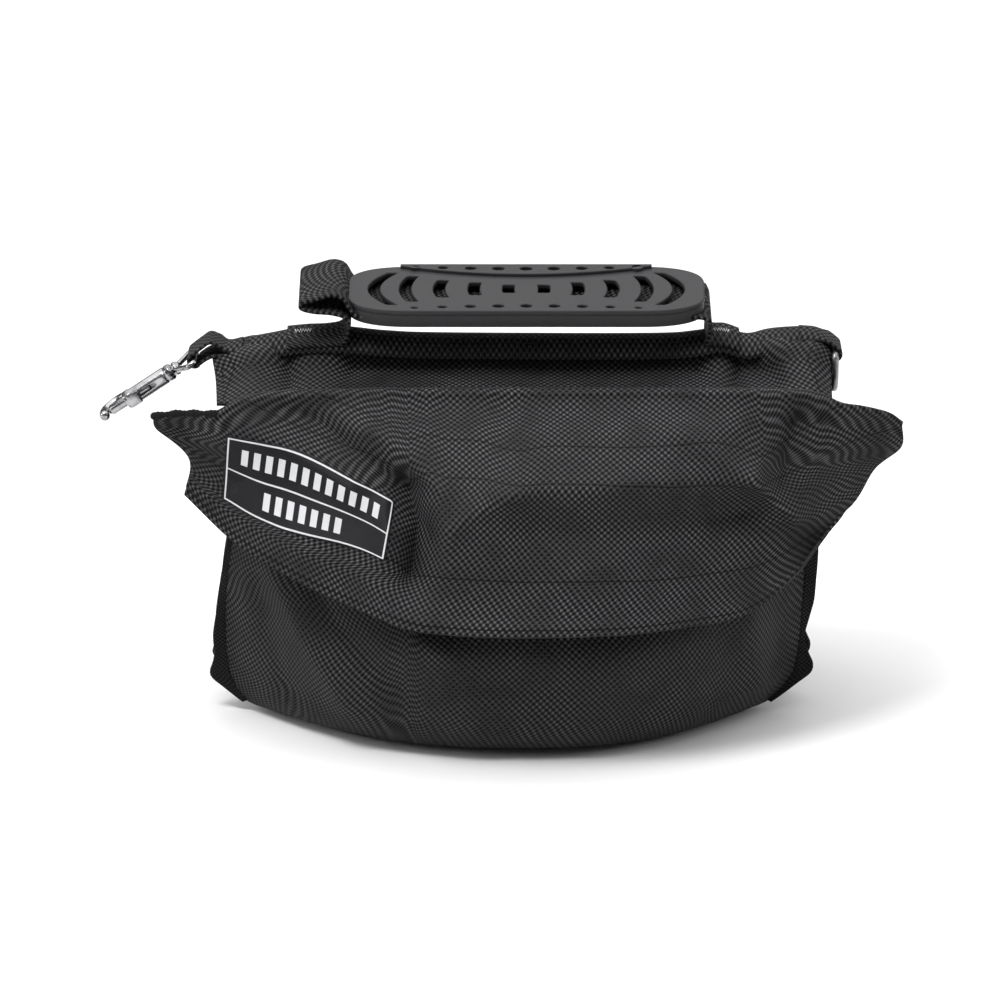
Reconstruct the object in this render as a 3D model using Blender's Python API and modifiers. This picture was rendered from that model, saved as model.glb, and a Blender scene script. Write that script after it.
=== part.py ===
"""A refillable saddle sandbag for studio stands.

Two pouches hang back to back from a woven yoke. Each has a mouth covered by a flap, which hook and
loop tape holds shut, and a liner bag with sand inside. A webbing handle with a moulded rubber grip
runs along the top. A bolt snap hangs from the left end of the yoke and a D-ring from its right end.

X runs along the bag, -Y is its front and Z is up. Bag coordinates are (x, depth, z), where depth is
the distance from the plane between the pouches. A side of -1 is the front and +1 is the rear.
"""

import math

import bmesh
import bpy
from mathutils import Matrix, Vector

FRONT = -1
REAR = 1
BAG_CENTRE_X = 0.0135  # the snap reaches further out than the flap's other ear
GAP = 0.0005

# Pouch: (z, half width, back depth, front depth, seam depth), from the foot to the mouth.
POUCH_STATIONS = (
    (0.000, 0.122, 0.014, 0.072, 0.024),
    (0.005, 0.139, 0.007, 0.088, 0.020),
    (0.020, 0.149, 0.004, 0.100, 0.016),
    (0.055, 0.151, 0.004, 0.106, 0.016),
    (0.100, 0.148, 0.004, 0.102, 0.018),
    (0.130, 0.145, 0.008, 0.090, 0.023),
    (0.152, 0.144, 0.021, 0.074, 0.034),
    (0.168, 0.143, 0.036, 0.053, 0.044),
)
MOUTH_Z = POUCH_STATIONS[-1][0]
LEVELS = (0.0, 0.005, 0.020, 0.036, 0.055, 0.078, 0.100, 0.116, 0.130, 0.142, 0.152, 0.160)
LEVELS = (*LEVELS, MOUTH_Z)
FRONT_STEPS = 14
BACK_STEPS = 6
SHELL_WALL = 0.0016
LINER_INSET = 0.0026
LINER_WALL = 0.0010
SAND_INSET = 0.0046
SAND_TOP = 0.142
SIDE_INSET = 2.0  # the side seams are sharp, so walls draw in further there

# Yoke: half of the panel that bridges the pouches, as (depth, z).
YOKE_TOP = 0.195
YOKE_FLAT = 0.012
YOKE_EDGE = (0.033, 0.176)
YOKE_HALF_LENGTH = 0.146
FABRIC = 0.0020
WEBBING = 0.0015
SPINE_HALF_LENGTH = 0.132

# Flap, in rows from the hem up to the fold: (z, half width).
FLAP_ROWS = (
    (0.074, 0.084),
    (0.080, 0.098),
    (0.088, 0.113),
    (0.096, 0.127),
    (0.105, 0.140),
    (0.116, 0.153),
    (0.130, 0.165),
    (0.141, 0.174),
    (0.149, 0.180),
    (0.156, 0.184),
    (0.164, 0.186),
    (0.172, 0.178),
    (0.176, 0.160),
)
FLAP_TOP = FLAP_ROWS[-1][0]
# How far from the middle each flap's ears reach. The rear flap's are tucked in.
EAR_REACH = {"front": 0.186, "rear": 0.152}
FLAP_STEPS = 26
FLAP_INNER = 0.0046
FLAP_OUTER = 0.0066
FLAP_SPREAD = 0.190
FLAP_STAND_OFF = 0.012
FLAP_FOLD = ((0.172, 0.0500, 0.0565), (FLAP_TOP, 0.0445, 0.0485))
TAPE_HALF_LENGTH = 0.085
TAPE_STEPS = 10
UPPER_TAPE = (0.149, 0.161)
LOWER_TAPE = (0.078, 0.101)
LOOP_TAPE = (0.0004, 0.0016)
HOOK_TAPE = (0.0019, 0.0031)
BINDING_WIDTH = 0.0055
BINDING_HALF = 0.0012
LABEL_CENTRE = (-0.105, 0.126)
LABEL_SIZE = (0.080, 0.034)
LABEL_THICKNESS = 0.0012
LABEL_TILT = math.radians(-18)

# Joint axes across the bag, as (depth, z).
POUCH_HINGE = (0.040, 0.171)
FLAP_HINGE = (0.046, 0.1735)

# Handle. The grip's own Z starts at its underside, and its rear side is tilted up.
GRIP_LENGTH = 0.175
GRIP_WIDTH = 0.047
GRIP_BOTTOM = 0.2065
GRIP_HEIGHT = 0.0095
GRIP_PLATE = 0.003
GRIP_CENTRE_X = 0.0005
GRIP_TILT = math.radians(6)
GRIP_LIP = 0.0016
LIP_DEPTH = 0.0085
LIP_HALF_LENGTH = 0.068
SLOT_HALF_WIDTH = 0.0036
GRIP_SLOTS = (  # (distance from the middle, length across the grip, how far it bows outwards)
    (0.0085, 0.009, 0.0004),
    (0.0250, 0.012, 0.0010),
    (0.0410, 0.019, 0.0022),
    (0.0560, 0.028, 0.0040),
    (0.0660, 0.035, 0.0095),
)
GRIP_HOLES = 9
HOLE_PITCH = 0.0138
HOLE_HALF_SIZE = (0.0032, 0.0020)
STRAP_WIDTH = 0.038
STRAP_Z = 0.2092
STRAP_JOIN = 0.0775
SEWN_Z = YOKE_TOP + WEBBING + 4 * GAP
LEFT_STRAP = (
    (-STRAP_JOIN, STRAP_Z),
    (-0.0840, STRAP_Z),
    (-0.0895, 0.2108),
    (-0.0955, 0.2180),
    (-0.1040, 0.2185),
    (-0.1105, 0.2115),
    (-0.1100, 0.2050),
    (-0.1060, 0.2005),
    (-0.0990, SEWN_Z),
    (-0.0900, SEWN_Z),
)
RIGHT_STRAP = (
    (STRAP_JOIN, STRAP_Z),
    (0.0850, STRAP_Z),
    (0.0905, 0.2065),
    (0.0905, 0.2025),
    (0.0870, 0.1995),
    (0.0800, SEWN_Z),
    (0.0720, SEWN_Z),
)

# Webbing loops, ring and snap.
LOOP_WIDTH = 0.020
LOOP_RADIUS = 0.0030
RING_X = 0.1535
RING_Z = 0.184
RING_WIRE = 0.0018
RING_HALF_WIDTH = 0.0135
RING_DROP = 0.008
RING_BOW = 0.0115
EYE_X = -0.1640
EYE_Z = 0.1805
SNAP_SLOPE = math.radians(34)
EYE_WIRE = 0.0015
EYE_HALF_WIDTH = 0.0125
BARREL_RADIUS = 0.0042
BARREL_BORE = 0.0030
BARREL_TOP = -0.0135
BARREL_MOUTH = -0.042
BOLT_RADIUS = 0.0026
BOLT_TAIL = -0.0275
BOLT_TIP = -0.0520
BOLT_TRAVEL = 0.008
KNOB_Z = -0.0365
KNOB_NECK = 0.0011
HOOK_RADIUS = 0.0023
HOOK_ARM = (  # (y, z) from the barrel's side round to the nose
    (0.0055, -0.0340),
    (0.0080, -0.0385),
    (0.0108, -0.0430),
    (0.0112, -0.0490),
    (0.0080, -0.0535),
    (0.0035, -0.0550),
    (-0.0022, -0.0548),
)
SPRING_RADIUS = 0.0022
SPRING_WIRE = 0.0003
SPRING_TURNS = 6
SPRING_TOP = -0.0183


def clear_scene():
    for obj in list(bpy.data.objects):
        bpy.data.objects.remove(obj, do_unlink=True)


def new_collection(name):
    collection = bpy.data.collections.new(name)
    bpy.context.scene.collection.children.link(collection)
    return collection


def new_material(name, color, roughness, metallic=0.0):
    material = bpy.data.materials.new(name)
    material.use_nodes = True
    shader = material.node_tree.nodes["Principled BSDF"]
    shader.inputs["Base Color"].default_value = (*color, 1.0)
    shader.inputs["Roughness"].default_value = roughness
    shader.inputs["Metallic"].default_value = metallic
    return material


clear_scene()
parts = new_collection("sandbag")
cutters = new_collection("cutters")
cutters.hide_render = True
MATERIALS = {
    "woven": new_material("woven_fabric", (0.022, 0.022, 0.024), 0.75),
    "webbing": new_material("webbing", (0.018, 0.018, 0.019), 0.80),
    "tape": new_material("hook_and_loop", (0.012, 0.012, 0.013), 0.90),
    "liner": new_material("liner_film", (0.55, 0.56, 0.58), 0.45),
    "sand": new_material("sand", (0.52, 0.40, 0.26), 0.95),
    "rubber": new_material("grip_rubber", (0.030, 0.030, 0.032), 0.55),
    "label": new_material("label_satin", (0.010, 0.010, 0.011), 0.40),
    "chrome": new_material("snap_chrome", (0.72, 0.72, 0.72), 0.15, 1.0),
    "steel": new_material("ring_steel", (0.50, 0.50, 0.50), 0.30, 1.0),
}

bag = bpy.data.objects.new("bag_frame", None)
bag.location = (BAG_CENTRE_X, 0.0, 0.0)
parts.objects.link(bag)


def add_empty(name, location, rotation=(0.0, 0.0, 0.0), parent=bag):
    """A joint's axis: what moves on the joint is parented to it."""
    empty = bpy.data.objects.new(name, None)
    empty.location = location
    empty.rotation_euler = rotation
    empty.parent = parent
    parts.objects.link(empty)
    return empty


def add_part(name, data, kind, parent=bag, collection=parts):
    """A named object whose geometry is in bag coordinates, or in its parent's on the snap."""
    obj = bpy.data.objects.new(name, data)
    data.materials.append(MATERIALS[kind])
    obj.parent = parent
    if parent.parent is bag and not any(parent.rotation_euler):
        data.transform(Matrix.Translation(-parent.location))
    collection.objects.link(obj)
    if collection is cutters:
        obj.hide_render = True
        obj.display_type = "WIRE"
    return obj


def loft_mesh(name, rings):
    """A closed skin through rings of equal length, with a flat cap on the first and the last.

    Every skin is cut into triangles the same way, so that one skin inside another stays clear of it.
    """
    mesh = bpy.data.meshes.new(name)
    skin = bmesh.new()
    rows = [[skin.verts.new(point) for point in ring] for ring in rings]
    count = len(rows[0])
    for low, high in zip(rows, rows[1:]):
        for i in range(count):
            j = (i + 1) % count
            skin.faces.new((low[i], low[j], high[j]))
            skin.faces.new((low[i], high[j], high[i]))
    skin.faces.new(rows[0])
    skin.faces.new(rows[-1])
    bmesh.ops.recalc_face_normals(skin, faces=skin.faces)
    skin.to_mesh(mesh)
    skin.free()
    mesh.shade_smooth()
    mesh.set_sharp_from_angle(angle=math.radians(40))
    return mesh


def box_mesh(name, low, high):
    mesh = bpy.data.meshes.new(name)
    box = bmesh.new()
    centre = (Vector(low) + Vector(high)) / 2
    size = Vector(high) - Vector(low)
    bmesh.ops.create_cube(box, size=1.0, matrix=Matrix.LocRotScale(centre, None, size))
    box.to_mesh(mesh)
    box.free()
    return mesh


def boolean(target, cutter, operation="DIFFERENCE"):
    modifier = target.modifiers.new(cutter.name, "BOOLEAN")
    modifier.object = cutter
    modifier.operation = operation
    modifier.solver = "EXACT"


def smooth_path(points, steps=6):
    """Points along the Catmull-Rom curve through the given ones."""
    points = [Vector(p) for p in points]
    ends = [2 * points[0] - points[1], *points, 2 * points[-1] - points[-2]]
    path = []
    for before, start, end, after in zip(ends, ends[1:], ends[2:], ends[3:]):
        for i in range(steps):
            t = i / steps
            bend = (end - before) * t + (2 * before - 5 * start + 4 * end - after) * t * t
            path.append(start + (bend + (3 * start - before - 3 * end + after) * t**3) / 2)
    return [*path, points[-1]]


def wire_curve(name, points, radius, cyclic=False):
    curve = bpy.data.curves.new(name, "CURVE")
    curve.dimensions = "3D"
    curve.bevel_depth = radius
    curve.bevel_resolution = 2
    curve.use_fill_caps = not cyclic
    spline = curve.splines.new("POLY")
    spline.points.add(len(points) - 1)
    for slot, point in zip(spline.points, points):
        slot.co = (*point, 1.0)
    spline.use_cyclic_u = cyclic
    return curve


def wire_cutter(name, points, radius, parent):
    """A wire as a closed mesh, for joining to another part with a Boolean."""
    rod = add_part(name + "_curve", wire_curve(name, points, radius), "chrome", parent)
    graph = bpy.context.evaluated_depsgraph_get()
    mesh = bpy.data.meshes.new_from_object(rod.evaluated_get(graph))
    welded = bmesh.new()
    welded.from_mesh(mesh)
    bmesh.ops.remove_doubles(welded, verts=welded.verts, dist=0.00001)
    bmesh.ops.recalc_face_normals(welded, faces=welded.faces)
    welded.to_mesh(mesh)
    welded.free()
    bpy.data.objects.remove(rod, do_unlink=True)
    mesh.materials.clear()
    return add_part(name, mesh, "chrome", parent, cutters)


def turned_part(name, profile, kind, parent, collection=parts, steps=24):
    """A profile of (radius, z) points, down its outer side and up its bore, turned about Z."""
    mesh = bpy.data.meshes.new(name)
    points = [(radius, 0.0, z) for radius, z in profile]
    closed = profile[0][0] > 0
    edges = [(i, (i + 1) % len(points)) for i in range(len(points) - (not closed))]
    mesh.from_pydata(points, edges, [])
    obj = add_part(name, mesh, kind, parent, collection)
    screw = obj.modifiers.new("turn", "SCREW")
    screw.steps = steps
    screw.render_steps = steps
    screw.use_merge_vertices = True
    screw.merge_threshold = 0.00001
    screw.use_smooth_shade = True
    return obj


def strip_part(name, path, width, thickness, parent=bag, kind="webbing"):
    """A strap that follows a path in the XZ plane, width across in Y."""
    mesh = bpy.data.meshes.new(name)
    strip = bmesh.new()
    rows = [[strip.verts.new((x, y, z)) for y in (-width / 2, width / 2)] for x, z in path]
    for low, high in zip(rows, rows[1:]):
        strip.faces.new((low[0], low[1], high[1], high[0]))
    strip.to_mesh(mesh)
    strip.free()
    obj = add_part(name, mesh, kind, parent)
    solid = obj.modifiers.new("thickness", "SOLIDIFY")
    solid.thickness = thickness
    solid.offset = 0.0
    solid.use_even_offset = True
    return obj


# Pouches


def pouch_at(z):
    """(half width, back, front, seam) at a height, on smooth curves through the stations."""
    z = min(max(z, 0.0), MOUTH_Z)
    upper = next(i for i, station in enumerate(POUCH_STATIONS) if station[0] >= z)
    upper = max(upper, 1)
    picks = [min(max(upper + k, 0), len(POUCH_STATIONS) - 1) for k in (-2, -1, 0, 1)]
    before, start, end, after = (POUCH_STATIONS[k] for k in picks)
    span = end[0] - start[0]
    t = (z - start[0]) / span
    values = []
    for k in range(1, 5):
        leave = (end[k] - before[k]) / (end[0] - before[0]) * span
        arrive = (after[k] - start[k]) / (after[0] - start[0]) * span
        values.append(
            start[k] * (2 * t**3 - 3 * t**2 + 1)
            + leave * (t**3 - 2 * t**2 + t)
            + end[k] * (3 * t**2 - 2 * t**3)
            + arrive * (t**3 - t**2)
        )
    return values


def bulge(u):
    """How a filled pouch stands out between its middle, at u = 0, and its side seam, at u = 1."""
    return (1 - min(abs(u), 1.0) ** 2.5) ** 1.1


def pouch_ring(level, side, inset=0.0, top=MOUTH_Z):
    half_width, back, front, seam = pouch_at(level)
    half_width -= SIDE_INSET * inset
    front -= inset
    back += inset
    z = level + inset * max(0.0, 1 - level / top)
    ring = []
    for i in range(FRONT_STEPS + 1):
        u = -math.cos(math.pi * i / FRONT_STEPS)
        depth = seam + (front - seam) * bulge(u)
        ring.append((u * half_width, side * depth, z))
    for i in range(1, BACK_STEPS):
        u = math.cos(math.pi * i / BACK_STEPS)
        depth = seam + (back - seam) * (1 - abs(u) ** 6)
        ring.append((u * half_width, side * depth, z))
    return ring


def open_bag(name, side, parent, kind, outer, inner, top):
    """A bag with an open mouth: an outer skin less an inner one that runs out through the top."""
    levels = [level for level in LEVELS if level <= top]
    skin = [pouch_ring(level, side, outer) for level in levels]
    hollow = [pouch_ring(level, side, inner) for level in levels]
    lift = Vector((0.0, 0.0, 0.004))
    hollow.append([Vector(point) + lift for point in hollow[-1]])
    obj = add_part(name, loft_mesh(name, skin), kind, parent)
    cutter = add_part(name + "_hollow", loft_mesh(name + "_hollow", hollow), kind, parent, cutters)
    boolean(obj, cutter)
    return obj


def layer(name, side, rows, steps, span_of, inner_of, outer_of, kind, parent):
    """A thin closed sheet between two depths. span_of gives a row's x from a share of -1 to 1."""
    rings = []
    for z in rows:
        xs = [span_of(z, 2 * i / steps - 1) for i in range(steps + 1)]
        out = [(x, side * outer_of(x, z), z) for x in xs]
        back = [(x, side * inner_of(x, z), z) for x in reversed(xs)]
        rings.append(out + back)
    return add_part(name, loft_mesh(name, rings), kind, parent)


def pouch_face(x, z):
    """Depth of the pouch's outer face, and of its side seam beyond its ends."""
    half_width, back, front, seam = pouch_at(z)
    return seam + (front - seam) * bulge(x / half_width)


def flap_face(x, z):
    """Depth that the flap lies at: on the pouch in the middle, and out to the ears at its ends."""
    half_width, back, front, seam = pouch_at(z)
    stand_off = min(FLAP_STAND_OFF, (front - seam) / 2)
    spread = seam + (front - seam - stand_off) * bulge(x / FLAP_SPREAD)
    face = pouch_face(x, z)
    return (face + spread + math.hypot(face - spread, 0.004)) / 2


def flap_half_width(z):
    upper = next(i for i, row in enumerate(FLAP_ROWS) if row[0] >= z)
    low = FLAP_ROWS[max(upper - 1, 0)]
    high = FLAP_ROWS[upper]
    share = (z - low[0]) / max(high[0] - low[0], 1e-9)
    return low[1] + (high[1] - low[1]) * share


def flap_depth(x, z, offset, column):
    """The flap follows its pouch, and its top two rows turn in over the mouth."""
    for fold in FLAP_FOLD:
        if abs(z - fold[0]) < 1e-6:
            return fold[column]
    return flap_face(x, z) + offset


def make_tape(name, side, span, offsets, face, parent):
    """A strip of tape, sewn on at two depths over the pouch's or the flap's face."""
    rows = [span[0] + (span[1] - span[0]) * i / 3 for i in range(4)]
    layer(
        name,
        side,
        rows,
        TAPE_STEPS,
        lambda z, share: TAPE_HALF_LENGTH * share,
        lambda x, z: face(x, z) + offsets[0],
        lambda x, z: face(x, z) + offsets[1],
        "tape",
        parent,
    )


def make_binding(name, side, hand, parent):
    """The bound edge along one side seam."""
    rings = []
    for z in LEVELS[1:-1]:
        half_width, back, front, seam = pouch_at(z)
        near = hand * (half_width + GAP)
        far = hand * (half_width + BINDING_WIDTH)
        low = side * (seam - BINDING_HALF)
        high = side * (seam + BINDING_HALF)
        rings.append([(near, low, z), (far, low, z), (far, high, z), (near, high, z)])
    add_part(name, loft_mesh(name, rings), "webbing", parent)


def make_flap(word, side, parent):
    rows = [row[0] for row in FLAP_ROWS]
    layer(
        word + "_flap",
        side,
        rows,
        FLAP_STEPS,
        lambda z, share: min(flap_half_width(z), EAR_REACH[word]) * math.sin(share * math.pi / 2),
        lambda x, z: flap_depth(x, z, FLAP_INNER, 1),
        lambda x, z: flap_depth(x, z, FLAP_OUTER, 2),
        "woven",
        parent,
    )


def make_pouch(word, side):
    """One pouch with everything that is sewn to it or held in it, and its flap."""
    hinge = add_empty(word + "_pouch_axis", (0.0, side * POUCH_HINGE[0], POUCH_HINGE[1]))
    flap = add_empty(word + "_flap_axis", (0.0, side * FLAP_HINGE[0], FLAP_HINGE[1]))
    open_bag(word + "_pouch_shell", side, hinge, "woven", 0.0, SHELL_WALL, MOUTH_Z)
    liner_bore = LINER_INSET + LINER_WALL
    open_bag(word + "_liner_bag", side, hinge, "liner", LINER_INSET, liner_bore, LEVELS[-2])
    sand_levels = [level for level in LEVELS if level <= SAND_TOP]
    sand = [pouch_ring(level, side, SAND_INSET) for level in sand_levels]
    add_part(word + "_sand_fill", loft_mesh(word + "_sand_fill", sand), "sand", hinge)
    for hand_word, hand in (("left", -1), ("right", 1)):
        make_binding(f"{word}_{hand_word}_binding", side, hand, hinge)
    for place, span in (("upper", UPPER_TAPE), ("lower", LOWER_TAPE)):
        make_tape(f"{word}_pouch_{place}_loop", side, span, LOOP_TAPE, pouch_face, hinge)
        make_tape(f"{word}_flap_{place}_hook", side, span, HOOK_TAPE, flap_face, flap)
    make_flap(word, side, flap)
    return flap


def make_label(flap):
    """The label sewn to the front flap, tilted with the fold that it sits on."""
    width, height = LABEL_SIZE
    rings = []
    for j in range(6):
        v = height * (j / 5 - 0.5)
        points = []
        for i in range(11):
            u = width * (i / 10 - 0.5)
            x = LABEL_CENTRE[0] + u * math.cos(LABEL_TILT) - v * math.sin(LABEL_TILT)
            z = LABEL_CENTRE[1] + u * math.sin(LABEL_TILT) + v * math.cos(LABEL_TILT)
            points.append((x, z))
        base = FLAP_OUTER + GAP
        top = base + LABEL_THICKNESS
        out = [(x, -(flap_face(x, z) + top), z) for x, z in points]
        back = [(x, -(flap_face(x, z) + base), z) for x, z in reversed(points)]
        rings.append(out + back)
    add_part("label_patch", loft_mesh("label_patch", rings), "label", flap)


# Yoke and webbing


def make_yoke():
    half = [(YOKE_FLAT, YOKE_TOP - FABRIC / 2), YOKE_EDGE]
    path = [(-depth, z) for depth, z in reversed(half)] + half
    mesh = bpy.data.meshes.new("yoke_panel")
    panel = bmesh.new()
    ends = (-YOKE_HALF_LENGTH, YOKE_HALF_LENGTH)
    rows = [[panel.verts.new((x, y, z)) for x in ends] for y, z in path]
    for near, far in zip(rows, rows[1:]):
        panel.faces.new((near[0], near[1], far[1], far[0]))
    panel.to_mesh(mesh)
    panel.free()
    yoke = add_part("yoke_panel", mesh, "woven")
    solid = yoke.modifiers.new("thickness", "SOLIDIFY")
    solid.thickness = FABRIC
    solid.offset = 0.0
    solid.use_even_offset = True


def make_spine_webbing():
    z = YOKE_TOP + GAP + WEBBING / 2
    path = [(-SPINE_HALF_LENGTH, z), (SPINE_HALF_LENGTH, z)]
    strip_part("spine_webbing", path, 2 * YOKE_FLAT, WEBBING)


def loop_path(bar_x, bar_z, hand):
    """Out along the yoke's top, then round the bar until it faces the yoke again, as (x, z)."""
    top = YOKE_TOP + GAP + WEBBING / 2
    start = hand * (SPINE_HALF_LENGTH + 0.002)
    edge = hand * (YOKE_HALF_LENGTH + 0.0015)
    run = abs(bar_x - edge)
    rise = top - bar_z
    touch = math.pi - math.atan2(rise, run) - math.acos(LOOP_RADIUS / math.hypot(run, rise))
    points = [(start, top), (edge, top)]
    for i in range(11):
        angle = touch - math.pi * 1.15 * i / 10
        x = bar_x + hand * LOOP_RADIUS * math.cos(angle)
        points.append((x, bar_z + LOOP_RADIUS * math.sin(angle)))
    return points


def make_loops():
    for name, x, z, hand in (("hook_loop", EYE_X, EYE_Z, -1), ("ring_loop", RING_X, RING_Z, 1)):
        strip_part(name, loop_path(x, z, hand), LOOP_WIDTH, WEBBING)


# Handle


def make_grip_block():
    """The grip's outline, blunt at both ends, at its full height."""
    half = GRIP_LENGTH / 2
    side = GRIP_WIDTH / 2
    quarter = [(half - 0.018, side), (half - 0.006, side * 0.62), (half, side * 0.30)]
    loop = list(quarter)
    loop += [(x, -y) for x, y in reversed(quarter)]
    loop += [(-x, -y) for x, y in quarter]
    loop += [(-x, y) for x, y in reversed(quarter)]
    rings = [[(x, y, z) for x, y in loop] for z in (0.0, GRIP_HEIGHT)]
    return loft_mesh("handle_grip", rings)


def make_lip():
    """The crescent border that laps over the rear side of the grip's top."""
    outer = GRIP_WIDTH / 2 - GAP
    low = GRIP_HEIGHT - GRIP_PLATE / 2
    high = GRIP_HEIGHT + GRIP_LIP
    rings = []
    for i in range(13):
        share = i / 6 - 1
        inner = outer - 0.001 - LIP_DEPTH * (1 - share**2)
        x = share * LIP_HALF_LENGTH
        rings.append([(x, inner, low), (x, outer, low), (x, outer, high), (x, inner, high)])
    return loft_mesh("grip_lip", rings)


def arc_slot(x, length, bow, hand):
    """A slot across the grip, which bows away from the grip's middle."""
    low = GRIP_HEIGHT - GRIP_PLATE - 0.001
    high = GRIP_HEIGHT + GRIP_LIP + 0.001
    rings = []
    for i in range(7):
        share = i / 3 - 1
        middle = hand * (x + bow * (1 - share**2))
        near = middle - SLOT_HALF_WIDTH
        far = middle + SLOT_HALF_WIDTH
        y = share * length / 2
        rings.append([(near, y, low), (far, y, low), (far, y, high), (near, y, high)])
    return loft_mesh("slot", rings)


def oval_hole(x, y, scale):
    low = GRIP_HEIGHT - GRIP_PLATE - 0.001
    high = GRIP_HEIGHT + GRIP_LIP + 0.001
    across = HOLE_HALF_SIZE[0] * scale
    along = HOLE_HALF_SIZE[1] * scale
    angles = [math.pi * i / 5 for i in range(10)]
    ring = [(x + across * math.cos(angle), y + along * math.sin(angle)) for angle in angles]
    return loft_mesh("hole", [[(x, y, z) for x, y in ring] for z in (low, high)])


def join_cutters(name, meshes, parent):
    """Cutters that don't touch, as one object."""
    joined = bmesh.new()
    for mesh in meshes:
        joined.from_mesh(mesh)
    whole = bpy.data.meshes.new(name)
    joined.to_mesh(whole)
    joined.free()
    return add_part(name, whole, "rubber", parent, cutters)


def make_grip(handle):
    grip = add_part("handle_grip", make_grip_block(), "rubber", handle)
    boolean(grip, add_part("grip_lip", make_lip(), "rubber", handle, cutters), "UNION")
    half_trough = STRAP_WIDTH / 2 + 0.001
    reach = GRIP_LENGTH / 2 + 0.002
    low = (-reach, -half_trough, -0.001)
    high = (reach, half_trough, GRIP_HEIGHT - GRIP_PLATE)
    trough = add_part("grip_trough", box_mesh("grip_trough", low, high), "rubber", handle, cutters)
    boolean(grip, trough)
    shapes = []
    for slot in GRIP_SLOTS:
        for hand in (-1, 1):
            shapes.append(arc_slot(*slot, hand))
    for i in range(GRIP_HOLES):
        share = 2 * i / (GRIP_HOLES - 1) - 1
        x = HOLE_PITCH * (GRIP_HOLES - 1) / 2 * share
        scale = 1 - 0.3 * share**2
        y = 0.0185 + 0.002 * share**2
        shapes.append(oval_hole(x, y, scale))
        shapes.append(oval_hole(x, -y, scale))
    boolean(grip, join_cutters("grip_holes", shapes, handle))


def make_handle():
    handle = add_empty("handle_axis", (GRIP_CENTRE_X, 0.0, GRIP_BOTTOM), (GRIP_TILT, 0.0, 0.0))
    make_grip(handle)
    z = STRAP_Z - GRIP_BOTTOM
    left = -STRAP_JOIN + GAP - GRIP_CENTRE_X
    right = STRAP_JOIN - GAP - GRIP_CENTRE_X
    strip_part("handle_strap_middle", [(left, z), (right, z)], STRAP_WIDTH, WEBBING, handle)
    for name, points in (("left", LEFT_STRAP), ("right", RIGHT_STRAP)):
        path = smooth_path([(x, z, 0.0) for x, z in points], 4)
        strip_part(f"handle_strap_{name}_end", [(p.x, p.y) for p in path], STRAP_WIDTH, WEBBING)


# Ring and snap


def make_ring():
    """A bar through the webbing loop, and a bow that hangs from it."""
    axis = add_empty("ring_axis", (RING_X, 0.0, RING_Z))
    half = RING_HALF_WIDTH
    path = [(RING_X, y, RING_Z) for y in (-half, 0.0, half)]
    for i in range(13):
        angle = math.pi * i / 12
        z = RING_Z - RING_DROP - RING_BOW * math.sin(angle)
        path.append((RING_X, half * math.cos(angle), z))
    add_part("d_ring", wire_curve("d_ring", path, RING_WIRE, cyclic=True), "steel", axis)


def make_snap():
    """The snap points out and down from its eye. Its own Z runs from the hook's nose to the eye."""
    turn = (0.0, math.pi / 2 - SNAP_SLOPE, 0.0)
    axis = add_empty("snap_axis", (EYE_X, 0.0, EYE_Z), turn)
    make_snap_eye(axis)
    make_snap_body(axis)
    make_snap_bolt(axis)


def make_snap_eye(axis):
    """A wire loop round the webbing, on a stud whose head turns inside the barrel."""
    stud = (
        (0.0, -0.0095),
        (0.0022, -0.0095),
        (0.0034, -0.0112),
        (0.0034, -0.0128),
        (0.0016, -0.0130),
        (0.0016, -0.0160),
        (0.0026, -0.0160),
        (0.0026, -0.0176),
        (0.0, -0.0176),
    )
    eye = turned_part("snap_eye", stud, "chrome", axis)
    side = ((0.0018, -0.0110), (0.0045, -0.0104), (EYE_HALF_WIDTH, -0.0052), (EYE_HALF_WIDTH, 0.0))
    path = [(0.0, -y, z) for y, z in side] + [(0.0, y, z) for y, z in reversed(side)]
    boolean(eye, wire_cutter("eye_wire", path, EYE_WIRE, axis), "UNION")


def make_snap_body(axis):
    """The barrel, with the hook that curves from it round to the bolt's tip."""
    shell = (
        (0.0019, BARREL_TOP),
        (0.0030, BARREL_TOP),
        (BARREL_RADIUS, BARREL_TOP - 0.0015),
        (BARREL_RADIUS, BARREL_MOUTH),
        (BARREL_BORE, BARREL_MOUTH),
        (BARREL_BORE, BARREL_TOP - 0.0020),
        (0.0019, BARREL_TOP - 0.0020),
    )
    body = turned_part("snap_body", shell, "chrome", axis)
    path = smooth_path([(0.0, y, z) for y, z in HOOK_ARM], 3)
    boolean(body, wire_cutter("hook_arm", path, HOOK_RADIUS, axis), "UNION")
    low = (-KNOB_NECK - 0.0003, -0.008, KNOB_Z - 0.0018)
    high = (KNOB_NECK + 0.0003, -0.001, KNOB_Z + BOLT_TRAVEL + 0.002)
    slot = add_part("knob_slot", box_mesh("knob_slot", low, high), "chrome", axis, cutters)
    boolean(body, slot)


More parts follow.
